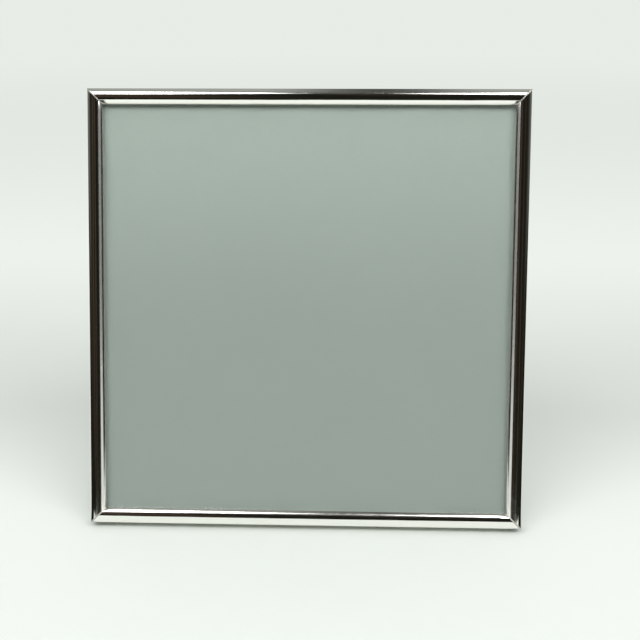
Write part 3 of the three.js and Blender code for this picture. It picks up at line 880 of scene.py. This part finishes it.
def silver_plate(finish):
    """Mirror-polished plate with drawing lines, drifting tarnish, folds darkened by tarnish and painted
    shade, and worn edges
    """
    tree, shader, _ = plain_material("polished_silver")
    lay = tree.kept("lay", "Vector")
    height = tree.apart(tree.object_space())["Z"]
    worn = tree.kept("worn") * height.spread(0.02, 0.10, 1.0, finish.wear_high)
    aged = tree.effect("aged_plate", lay, tree.kept("fold_tarnish_and_shade"), finish.tarnish_amount,
                       full(finish.silver), full(finish.tarnish))
    marks = tree.effect("fine_scratches", lay, 25.0, 160.0)
    rough = aged["Mask"] * 0.30 + finish.polish + marks["Lines"] * 0.05 + marks["Haze"] * 0.03
    sway = tree.noise(tree.vector("MULTIPLY", lay, (18.0, 160.0, 1.0)), 1.0, 2.0, 0.5)
    drawn = bump(tree, marks["Lines"], 0.05, 0.00004)
    shader.fill({
        "Base Color": aged["Color"], "Metallic": 1 - worn * finish.worn_base,
        "Roughness": rough + worn * finish.wear, "Normal": bump(tree, sway, 0.10, 0.0003, Normal=drawn),
    })


def soft_solder(finish):
    """Pale solder, polished by hand with the rails"""
    tree, shader, _ = plain_material("soft_solder")
    space = tree.object_space()
    aged = tree.effect("aged_plate", space, 0.3, 0.5, full(finish.solder), full(finish.tarnish))
    haze = tree.effect("fine_scratches", space, 900.0, 3.0)["Haze"]
    shader.fill({
        "Base Color": aged["Color"], "Metallic": 1.0, "Roughness": haze * 0.2 + 0.34,
        "Normal": bump(tree, haze, 0.3, 0.00004),
    })


def cast_zinc(finish):
    """Matt die-cast zinc with a grainy skin"""
    tree, shader, _ = plain_material("cast_zinc")
    skin = tree.effect("pressed_fibre", tree.object_space(), 2200.0, 0.35, full(finish.zinc))
    shader.fill({
        "Base Color": skin["Color"], "Metallic": 1.0, "Roughness": skin["Height"] * 0.3 + 0.40,
        "Normal": bump(tree, skin["Height"], 0.35, 0.00008),
    })


def plated_nickel(name, base, tarnish, roughness):
    """Stamped steel with a thin nickel plate, lightly scratched"""
    tree, shader, _ = plain_material(name)
    space = tree.object_space()
    aged = tree.effect("aged_plate", space, 0.25, 0.55, full(base), full(tarnish))
    lines = tree.effect("fine_scratches", space, 140.0, 28.0)["Lines"]
    shader.fill({
        "Base Color": aged["Color"], "Metallic": 1.0,
        "Roughness": lines * 0.16 + roughness + aged["Mask"] * 0.25,
        "Normal": bump(tree, lines, 0.10, 0.00004),
    })


def float_glass(finish):
    """Clear glass that lets the lamps through to the sheet"""
    tree, shader, output = plain_material("float_glass")
    tint = full(finish.glass)
    smear = tree.effect("fine_scratches", tree.object_space(), 12.0, 2.0)["Haze"]
    shader.fill({"Base Color": tint, "Transmission Weight": 1.0, "IOR": 1.5, "Roughness": smear * 0.02})
    clear = tree.add("ShaderNodeBsdfTransparent", tint)
    shadow = tree.add("ShaderNodeLightPath")["Is Shadow Ray"]
    output.fill({"Surface": tree.add("ShaderNodeMixShader", shadow, shader, clear)})


def fibre_material(name, base, scale, contrast, roughness, relief, dust=0.0, painted_shading=1.0):
    """Paper, card or pressed board, in places dusty, and where asked darker away from its top as painted
    shade
    """
    tree, shader, _ = plain_material(name)
    space = tree.object_space()
    fibres = tree.effect("pressed_fibre", space, scale, contrast, full(base))
    tone = fibres["Color"]
    if dust:
        specks = tree.effect("stray_dust", space, 160.0, 0.05, dust)
        tone = tree.mix(specks, tone, (0.75, 0.76, 0.73, 1.0))
    # Painted shade: the lower part of the sheet is painted darker than its top
    if painted_shading < 1:
        lower = tree.apart(space)["Z"].spread(0.065, 0.165, 1.0, 0.0)
        tone = tree.mix(lower, tone, grey(painted_shading), "MULTIPLY")
    shader.fill({
        "Base Color": tone, "Roughness": roughness, "Normal": bump(tree, fibres["Height"], 0.4, relief),
    })


def velvet(finish):
    """Near-black velvet with a short pile, a soft sheen, painted sheen in lighter strokes and a little lint
    """
    tree, shader, _ = plain_material("velvet_pile")
    space = tree.object_space()
    pile = tree.effect("brushed_pile", space, 4200.0, 26.0, full(finish.velvet), full(finish.velvet_painted_sheen))
    lint = tree.effect("stray_dust", space, 300.0, 0.06, 0.05)
    shader.fill({
        "Base Color": tree.mix(lint["Mask"] * 0.5, pile["Color"], (0.35, 0.35, 0.36, 1.0)),
        "Roughness": 0.95, "Specular IOR Level": 0.2, "Sheen Weight": 0.45, "Sheen Roughness": 0.35,
        "Sheen Tint": (0.42, 0.46, 0.58, 1.0), "Normal": bump(tree, pile["Height"], 0.7, 0.00012),
    })


MATERIALS = {
    "polished_silver": silver_plate,
    "soft_solder": soft_solder,
    "cast_zinc": cast_zinc,
    "fitting_nickel": lambda finish: plated_nickel("fitting_nickel", finish.nickel, finish.tarnish, 0.26),
    "leaf_nickel": lambda finish: plated_nickel("leaf_nickel", finish.hinge_nickel, finish.tarnish, 0.30),
    "float_glass": float_glass,
    "sheet_paper": lambda finish: fibre_material(
        "sheet_paper", finish.sheet, 1800.0, 0.10, 0.85, 0.00003, dust=0.004, painted_shading=finish.sheet_painted_shade,
    ),
    "card_stock": lambda finish: fibre_material("card_stock", finish.card, 1400.0, 0.5, 0.92, 0.00006),
    "pressed_board": lambda finish: fibre_material("pressed_board", finish.board, 1100.0, 0.9, 0.72, 0.00010),
    "velvet_pile": velvet,
}


def finish_named(name):
    """A material by its name, made when the first piece asks for it"""
    if name not in bpy.data.materials:
        MATERIALS[name](bpy.context.scene.frame_finishes)
    return bpy.data.materials[name]


class FRAME_OT_rails(Operator):
    """Make the four mitred rails"""

    bl_idname = "photo_frame.rails"
    bl_label = "Rails"

    def execute(self, context):
        sizes = context.scene.frame_rails
        outline = rail_outline(sizes)
        inset = [value for normal in rail_normals(outline) for value in (-normal.x, -normal.y, 0)]
        fold_from, fold_full = [sizes.crown_width - step for step in FOLD_SHADE]
        worn_from = sizes.crown_width - sizes.worn_in
        worn_to = worn_from + sizes.worn_width
        # Tarnish in the inner fold, deepened there as painted shade of the rail's inner edge
        fold_tarnish_and_shade = [ramp(x, fold_from, fold_full) for x, _ in outline]
        worn = [
            ramp(x, worn_from, worn_from + WORN_FADE_IN) - ramp(x, worn_to, worn_to + WORN_FADE_OUT)
            for x, _ in outline
        ]
        for side, turns in SIDES:
            across, apart, wear = sizes.width, sizes.height, sizes.worn_level
            if turns % 2:
                across, apart, wear = sizes.height, sizes.width, 1.0
            rail = wire(f"rail_{side}_polished", outline, True, (
                ("inset", "FLOAT_VECTOR", inset),
                ("around", "FLOAT", distance_around(outline)),
                ("fold_tarnish_and_shade", "FLOAT", fold_tarnish_and_shade),
                ("worn", "FLOAT", [level * wear for level in worn]),
            ))
            turn = Matrix.Rotation(turns * QUARTER, 4, "Y")
            place = middle_place() @ turn @ Matrix.Translation((0, 0, -apart / 2))
            grow(rail, "mitred_rail", {
                "Length": across, "Joint Gap": sizes.joint_gap, "Joint Easing": sizes.joint_ease,
                "Easing Length": sizes.joint_reach, "Rings": sizes.rings,
                "Finish": finish_named("polished_silver"),
            }, place, sharp_angle=30.0)
            ready(rail, "frame", (f"rail_{side}",))
        return {"FINISHED"}


class FRAME_OT_solder(Operator):
    """Make the solder lines in the mitres"""

    bl_idname = "photo_frame.solder"
    bl_label = "Solder lines"

    def execute(self, context):
        sizes = context.scene.frame_rails
        outline = rail_outline(sizes)
        sunk = sizes.solder_radius * SOLDER_SUNK
        corners = []
        for (x, y), normal in zip(outline, rail_normals(outline)):
            in_front = y < sizes.depth - SOLDER_SHORT and normal.y < SOLDER_TURN
            if in_front and (x < sizes.crown_width / 2 or y < sizes.crown_rise + SOLDER_IN):
                x, y = x - normal.x * sunk, y - normal.y * sunk
                corners.append((x - sizes.width / 2, y, x - sizes.height / 2))
        mesh = bpy.data.meshes.new("corner_solder")
        mesh.from_pydata(corners, [(i, i + 1) for i in range(len(corners) - 1)], [])
        seam = bpy.data.objects.new("corner_solder", mesh)
        values = {"Radius": sizes.solder_radius, "Sides": 8, "Finish": finish_named("soft_solder")}
        grow(seam, "corner_solder", values, middle_place(), sharp_angle=60.0)
        ready(seam, "frame", ())
        return {"FINISHED"}


class FRAME_OT_corner_keys(Operator):
    """Make the corner keys in the rails' channels"""

    bl_idname = "photo_frame.corner_keys"
    bl_label = "Corner keys"

    def execute(self, context):
        ease = context.scene.frame_easel.edge
        for corner in ("top_left", "top_right", "bottom_left", "bottom_right"):
            key = eased_copy(f"corner_key_{corner}", f"cast_key_{corner}", ease * 1.5)
            ready(key, "frame", (f"corner_key_{corner}",), "cast_zinc")
        return {"FINISHED"}


class FRAME_OT_glazing(Operator):
    """Finish the glass, the sheet and the filler card"""

    bl_idname = "photo_frame.glazing"
    bl_label = "Glass, sheet and card"

    def execute(self, context):
        back = context.scene.frame_back
        turn = upright_place().to_3x3()
        for node, name, seats, slot, finish in (
            ("glass_pane", "cut_pane", 1, "clear_glass", "float_glass"),
            ("backing_sheet", "laid_sheet", 2, "grey_green_sheet", "sheet_paper"),
        ):
            piece = eased_copy(node, name, back.edge)
            forward = turn @ Vector((0, -seats * back.seat_play, 0))
            piece.data.transform(Matrix.Translation(forward))
            ready(piece, "frame", (node,), finish)
        coat(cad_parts["filler_card"], "card_stock")
        return {"FINISHED"}


class FRAME_OT_back(Operator):
    """Make the back board's velvet"""

    bl_idname = "photo_frame.back"
    bl_label = "Velvet back"

    def execute(self, context):
        rails = context.scene.frame_rails
        back = context.scene.frame_back
        easel = context.scene.frame_easel
        coat(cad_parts["back_board"], "pressed_board")
        margin = back.insert_margin + back.cloth_margin
        half_x = rails.width / 2 - margin
        half_z = rails.height / 2 - margin
        hinge = easel.pin_height + easel.fixed_rise - rails.height / 2
        pressed = [(side * back.button_reach, level * back.button_spread / 2, BUTTON_DENT)
                   for _, side, level in CORNERS]
        pressed += [(side * easel.rivet_spread / 2, hinge, LEAF_DENT) for side in (-1, 1)]
        steps = back.cloth_steps
        rise = back.cloth_rear - back.cloth_front
        work = bmesh.new()
        grid = []
        for row in range(steps + 1):
            line = []
            for column in range(steps + 1):
                x = half_x * (2 * column / steps - 1)
                z = half_z * (2 * row / steps - 1)
                turned = min(1.0, min(half_x - abs(x), half_z - abs(z)) / CLOTH_TURN)
                height = rise * (CLOTH_EDGE + (1 - CLOTH_EDGE) * math.sqrt(1 - (1 - turned) ** 2))
                height += CLOTH_WAVE * noise.noise(Vector((x, 0, z)) * 90.0) * turned
                for px, pz, reach in pressed:
                    height -= CLOTH_DENT * math.exp(-((math.hypot(x - px, z - pz) / reach) ** 4))
                line.append(work.verts.new((x, back.cloth_front + height, z)))
            grid.append(line)
        for lower, upper in zip(grid, grid[1:]):
            for i in range(steps):
                work.faces.new((lower[i], lower[i + 1], upper[i + 1], upper[i]))
        border = grid[0][:-1] + [line[-1] for line in grid[:-1]]
        border += grid[-1][:0:-1] + [line[0] for line in grid[:0:-1]]
        base = [work.verts.new((vert.co.x, back.cloth_front, vert.co.z)) for vert in border]
        for i in range(len(border)):
            work.faces.new((border[i - 1], border[i], base[i], base[i - 1]))
        work.faces.new(base)
        cloth = smooth(body_from(work, "velvet_back", middle_place()), sharp_angle=50.0)
        ready(cloth, "frame", ("back_cloth",), "velvet_pile")
        return {"FINISHED"}


def turned_profile(sizes, seat, tip):
    """Half section of a domed rivet: radius and depth, from the tip of its shank to the crown"""
    shank, head, height = sizes.rivet_radius, sizes.head_radius, sizes.head_height
    skirt = height * 0.18
    points = [(0, tip), (shank * 0.8, tip), (shank, tip + shank * 0.2), (shank, seat)]
    points += [(head - skirt * 0.4, seat), (head, seat + skirt * 0.5)]
    for i in range(1, 13):
        turn = QUARTER * i / 12
        points.append((head * math.cos(turn), seat + skirt + (height - skirt) * math.sin(turn) ** 1.15))
    points[-1] = (0, seat + height)
    return points


def ring_profile(inner, outer, front, rear, ease):
    """Closed half section of a washer, with eased edges"""
    return eased([(inner, front), (outer, front), (outer, rear), (inner, rear)], ease, steps=2)


def turned_pieces(name, profile, closed, values, place, body, nodes):
    """Rows of one turned nickel piece, as one object"""
    values = {"Facets": 40, "Finish": finish_named("fitting_nickel"), **values}
    pieces = grow(wire(name, profile, closed), "turned_rows", values, place, sharp_angle=40.0)
    ready(pieces, body, nodes)


class FRAME_OT_turn_buttons(Operator):
    """Make the turn buttons with their washers and rivets"""

    bl_idname = "photo_frame.turn_buttons"
    bl_label = "Turn buttons"

    def execute(self, context):
        rails = context.scene.frame_rails
        sizes = context.scene.frame_back
        place = upright_place()
        radius = sizes.button_width / 2
        run = sizes.button_length - sizes.button_width
        rings = rim(sizes.button_front, sizes.button_front + sizes.button_thickness, BUTTON_EASE)
        for corner, side, level in CORNERS:
            bar = arc((run, 0), radius, -90, 90, 20) + arc((0, 0), radius, 90, 270, 20)
            hole = arc((0, 0), sizes.rivet_hole, 0, 360, 32)[-2::-1]
            if side < 0:
                bar, hole = ([(-x, z) for x, z in reversed(loop)] for loop in (bar, hole))
            middle = (side * sizes.button_reach, 0, rails.height / 2 + level * sizes.button_spread / 2)
            button = body_from(
                stack([bar, hole], rings), f"stamped_button_{corner}", place @ Matrix.Translation(middle)
            )
            ready(smooth(button), f"button_{corner}", (f"turn_button_{corner}",),
                  "fitting_nickel")
        rows = {
            "Across": 2, "Down": 2, "Spread Across": 2 * sizes.button_reach,
            "Spread Down": sizes.button_spread, "Height": rails.height / 2,
        }
        washer = ring_profile(sizes.rivet_hole, sizes.washer_radius, sizes.washer_front,
                              sizes.washer_front + sizes.washer_thickness, WASHER_EASE)
        rivet = turned_profile(sizes, sizes.button_seat, sizes.rivet_tip)
        for kind, profile, closed in (("washer", washer, True), ("rivet", rivet, False)):
            nodes = [f"button_{kind}_{corner}" for corner, _, _ in CORNERS]
            turned_pieces(f"button_{kind}s", profile, closed, rows, place, "frame", nodes)
        return {"FINISHED"}


class FRAME_OT_hinge(Operator):
    """Make the easel hinge: two leaves, the pin and the rivets"""

    bl_idname = "photo_frame.hinge"
    bl_label = "Easel hinge"

    def execute(self, context):
        back = context.scene.frame_back
        easel = context.scene.frame_easel
        for node, name, body in (
            ("hinge_fixed_leaf", "rolled_fixed_leaf", "frame"),
            ("hinge_strut_leaf", "rolled_strut_leaf", "strut"),
            ("hinge_pin", "headed_pin", "frame"),
        ):
            ready(eased_copy(node, name, easel.edge), body, (node,), "leaf_nickel")
        tip_front = back.rivet_tip - easel.pin_depth
        for leaf, body, seat, tip, height, opening in (
            ("fixed", "frame", easel.fixed_seat, tip_front, easel.fixed_rise, 0.0),
            ("strut", "strut", easel.strut_seat, easel.board_front, -easel.strut_drop, easel.opening),
        ):
            row = {"Across": 2, "Down": 1, "Spread Across": easel.rivet_spread, "Spread Down": 0.0,
                   "Height": height}
            turned_pieces(
                f"{leaf}_leaf_rivets", turned_profile(back, seat, tip), False, row, pin_place(opening), body,
                [f"{leaf}_leaf_rivet_{side}" for side in ("left", "right")],
            )
        return {"FINISHED"}


def strut_outline(sizes, foot):
    """The strut's outline in x and z, from the pin down, with eased corners"""
    half_top = sizes.top_width / 2
    half_foot = sizes.foot_width / 2
    corners = [
        ((-half_foot, -foot), sizes.foot_setback),
        ((half_foot, -foot), sizes.foot_setback),
        ((half_top, -sizes.top_drop), sizes.top_setback),
        ((-half_top, -sizes.top_drop), sizes.top_setback),
    ]
    outline = []
    for i, (corner, setback) in enumerate(corners):
        spot = Vector(corner)
        start = spot + (Vector(corners[i - 1][0]) - spot).normalized() * setback
        end = spot + (Vector(corners[(i + 1) % 4][0]) - spot).normalized() * setback
        outline += drawn_corner(start, spot, end, 12)
    return outline


class FRAME_OT_strut(Operator):
    """Make the strut and its velvet"""

    bl_idname = "photo_frame.strut"
    bl_label = "Strut"

    def execute(self, context):
        sizes = context.scene.frame_easel
        board = eased_copy("strut_board", "strut_core", STRUT_EASE)
        ready(board, "strut", ("strut_board",), "pressed_board")
        outline = strut_outline(sizes, sizes.reach - sizes.foot_rise)
        wrap, rear, edge, soft = sizes.cover_wrap, sizes.cover_rear, sizes.cover_edge, sizes.cover_round
        rings = [(-COVER_SKIN, sizes.board_rear + COVER_SKIN), (-COVER_SKIN, edge)]
        rings += [(-wrap * 0.6, edge - LIP_FRONT), (-wrap, edge + LIP_REAR)]
        for i in range(7):
            turn = QUARTER * i / 6
            rings.append((soft * (1 - math.cos(turn)) - wrap, rear - soft * (1 - math.sin(turn))))
        rings += [(soft, rear + COVER_FALL), (3 * soft, rear)]
        cover = body_from(stack([outline], rings), "velvet_strut", pin_place(sizes.opening))
        ready(smooth(cover, sharp_angle=50.0), "strut", ("strut_cloth",), "velvet_pile")
        return {"FINISHED"}


def seen_in_metal(path):
    """1 for what the metal mirrors, 0 for what is seen directly or through the glass"""
    return path["Is Glossy Ray"] * (1 - path["Is Transmission Ray"])


def studio_world(stage):
    """Pale light from all round but the camera's side; the silver sees a dark room there"""
    world = bpy.data.worlds.new("studio")
    world.use_nodes = True
    bpy.context.scene.world = world
    tree = Tree(world.node_tree)
    way = tree.apart(tree.add("ShaderNodeTexCoord")["Generated"])
    x, y, z = way["X"], way["Y"], way["Z"]
    path = tree.add("ShaderNodeLightPath")
    ahead = y / tree.math("MAXIMUM", tree.math("SQRT", x * x + y * y), 0.001)
    round_about = tree.math("ARCTAN2", x, y * -1.0)
    streaks = tree.noise(tree.together(round_about, z * 0.3, 0.0), 4.0)
    dark = tree.mix(streaks.spread(0.45, 0.65), full(stage.room), full(stage.room_warm))
    aside = ahead.spread(-0.65, -0.10) * z.spread(0.03, 0.12)
    beside = abs(x - 0.03).spread(0.01, 0.09)
    ceiling = tree.mix(beside, full(stage.overhead), full(stage.overhead_sides))
    dim = tree.mix(z.spread(0.62, 0.97), tree.mix(aside, dark, full(stage.wall)), ceiling)
    pale = ahead.spread(0.10, 0.50) * z.spread(0.25, 0.85, 1.0, 0.0)
    in_metal = tree.mix(pale, dim, full(stage.backdrop))
    front = ahead.spread(-0.35, 0.05, 1.0, 0.0) * z.spread(0.55, 0.75, 1.0, 0.0)
    ambient = tree.mix(front, grey(stage.ambient), grey(stage.ambient_front))
    ambient = tree.mix(path["Is Camera Ray"], ambient, full(stage.backdrop))
    light = tree.mix(seen_in_metal(path), ambient, in_metal)
    tree.add("ShaderNodeOutputWorld", tree.add("ShaderNodeBackground", light, 1.0))


def pale_floor(stage):
    """Matt floor, pale all over but for a painted shadow close behind the frame and painted shade far in
    front, of which the silver shows only the table's width
    """
    tree, shader, output = plain_material("pale_floor")
    space = tree.object_space()
    spot = tree.apart(space)
    x, y = spot["X"], spot["Y"]
    path = tree.add("ShaderNodeLightPath")
    grain = tree.noise(space, 40.0, 3.0, 0.5)
    # Painted shade: the floor is painted darker towards the front, under the lamps
    tone = tree.mix(y.spread(-1.50, -0.10), full(stage.floor_painted_shade_front), full(stage.floor))
    # Painted shadow: the floor is painted darker close behind the frame, where its soft shadow falls
    tone = tree.mix(y.spread(-0.02, 0.11), tone, full(stage.floor_painted_shadow))
    tone = tree.mix(y.spread(0.13, 0.40), tone, full(stage.floor_beyond))
    tone = tree.mix(grain.spread(0.3, 0.7, 0.0, 0.02), tone, grey(0.9))
    shader.fill({"Base Color": tone, "Roughness": 0.6, "Specular IOR Level": 0.15})
    soft = stage.table_soft
    near_edge = stage.table_near_half - y * stage.table_near_flare
    far_edge = stage.table_half - y * stage.table_flare
    aside = (abs(x) - tree.math("MINIMUM", near_edge, far_edge)).spread(-soft / 5, soft / 5)
    aside = aside * (abs(x) * 0.1 + y).spread(-0.018, -0.004, 1.0, 0.0)
    front = y.spread(-stage.table_front - soft, -stage.table_front + soft, 1.0, 0.0)
    hidden = tree.math("MAXIMUM", aside, front) * seen_in_metal(path)
    dark = tree.add("ShaderNodeEmission", full(stage.room), 1.0)
    pale = tree.add("ShaderNodeEmission", full(stage.backdrop), 1.0)
    seen = path["Is Camera Ray"] + path["Is Glossy Ray"] + path["Is Transmission Ray"]
    away = tree.vector("LENGTH", tree.together(x, y, 0.0))
    far = away.spread(0.3 * stage.floor_fade, stage.floor_fade)
    plain = tree.add("ShaderNodeMixShader", far * tree.math("MINIMUM", seen, 1.0), shader, pale)
    output.fill({"Surface": tree.add("ShaderNodeMixShader", hidden, plain, dark)})


def hang_lamps(stage):
    """Wide round lamps, of one brightness, that the camera doesn't see"""
    for name, x, y, wide, deep in LAMPS:
        light = bpy.data.lights.new(name, "AREA")
        light.shape = "ELLIPSE"
        light.size = wide
        light.size_y = deep
        light.energy = stage.lamp_power * wide * deep * math.pi / 4
        lamp = show(bpy.data.objects.new(name, light))
        lamp.location = (x, y, stage.lamp_height)
        lamp.visible_camera = False


def set_camera(stage):
    """A camera that looks down a little, with its lens shifted"""
    data = bpy.data.cameras.new("camera")
    data.sensor_width = 36.0
    data.lens = data.sensor_width / 2 / math.tan(stage.view_angle / 2)
    data.shift_x = stage.shift_x
    data.shift_y = stage.shift_y
    data.clip_start = 0.01
    camera = show(bpy.data.objects.new("camera", data))
    camera.location = stage.camera
    level = Euler((QUARTER - stage.elevation, 0, -stage.azimuth)).to_matrix()
    camera.rotation_euler = (level @ Matrix.Rotation(stage.roll, 3, "Z")).to_euler()
    bpy.context.scene.camera = camera


class FRAME_OT_stage(Operator):
    """Set the floor, the lamps, the room and the camera"""

    bl_idname = "photo_frame.stage"
    bl_label = "Stage"

    def execute(self, context):
        stage = context.scene.frame_stage
        half = stage.floor_size
        corners = [(-half, -half), (half, -half), (half, half), (-half, half)]
        mesh = bpy.data.meshes.new("floor")
        mesh.from_pydata([(x, y, -FLOOR_DROP) for x, y in corners], [], [(0, 1, 2, 3)])
        floor = show(bpy.data.objects.new("floor", mesh))
        pale_floor(stage)
        coat(floor, "pale_floor")
        studio_world(stage)
        hang_lamps(stage)
        set_camera(stage)
        context.scene.view_settings.view_transform = "Standard"
        return {"FINISHED"}


class FRAME_PT_panel(Panel):
    """Sizes, finishes and pieces of the photo frame"""

    bl_idname = "FRAME_PT_panel"
    bl_label = "Photo frame"
    bl_space_type = "VIEW_3D"
    bl_region_type = "UI"
    bl_category = "Photo frame"

    def draw(self, context):
        layout = self.layout
        for group in GROUPS:
            box = layout.box()
            box.label(text=GROUPS[group].__doc__)
            for prop in GROUPS[group].__annotations__:
                box.prop(getattr(context.scene, group), prop)
        for operator in OPERATORS:
            layout.operator(operator.bl_idname)


GROUPS = {
    "frame_rails": RailSizes,
    "frame_back": BackSizes,
    "frame_easel": EaselSizes,
    "frame_finishes": Finishes,
    "frame_stage": StageSettings,
}
OPERATORS = (
    FRAME_OT_stage,
    FRAME_OT_rails,
    FRAME_OT_solder,
    FRAME_OT_corner_keys,
    FRAME_OT_glazing,
    FRAME_OT_back,
    FRAME_OT_turn_buttons,
    FRAME_OT_hinge,
    FRAME_OT_strut,
)
CLASSES = (*GROUPS.values(), *OPERATORS, FRAME_PT_panel)


def register():
    for cls in CLASSES:
        bpy.utils.register_class(cls)
    for name, group in GROUPS.items():
        setattr(bpy.types.Scene, name, PointerProperty(type=group))


def unregister():
    for name in GROUPS:
        delattr(bpy.types.Scene, name)
    for cls in reversed(CLASSES):
        bpy.utils.unregister_class(cls)


def main():
    register()
    for operator in OPERATORS:
        group, name = operator.bl_idname.split(".")
        getattr(getattr(bpy.ops, group), name)()


if __name__ == "__main__":
    main()
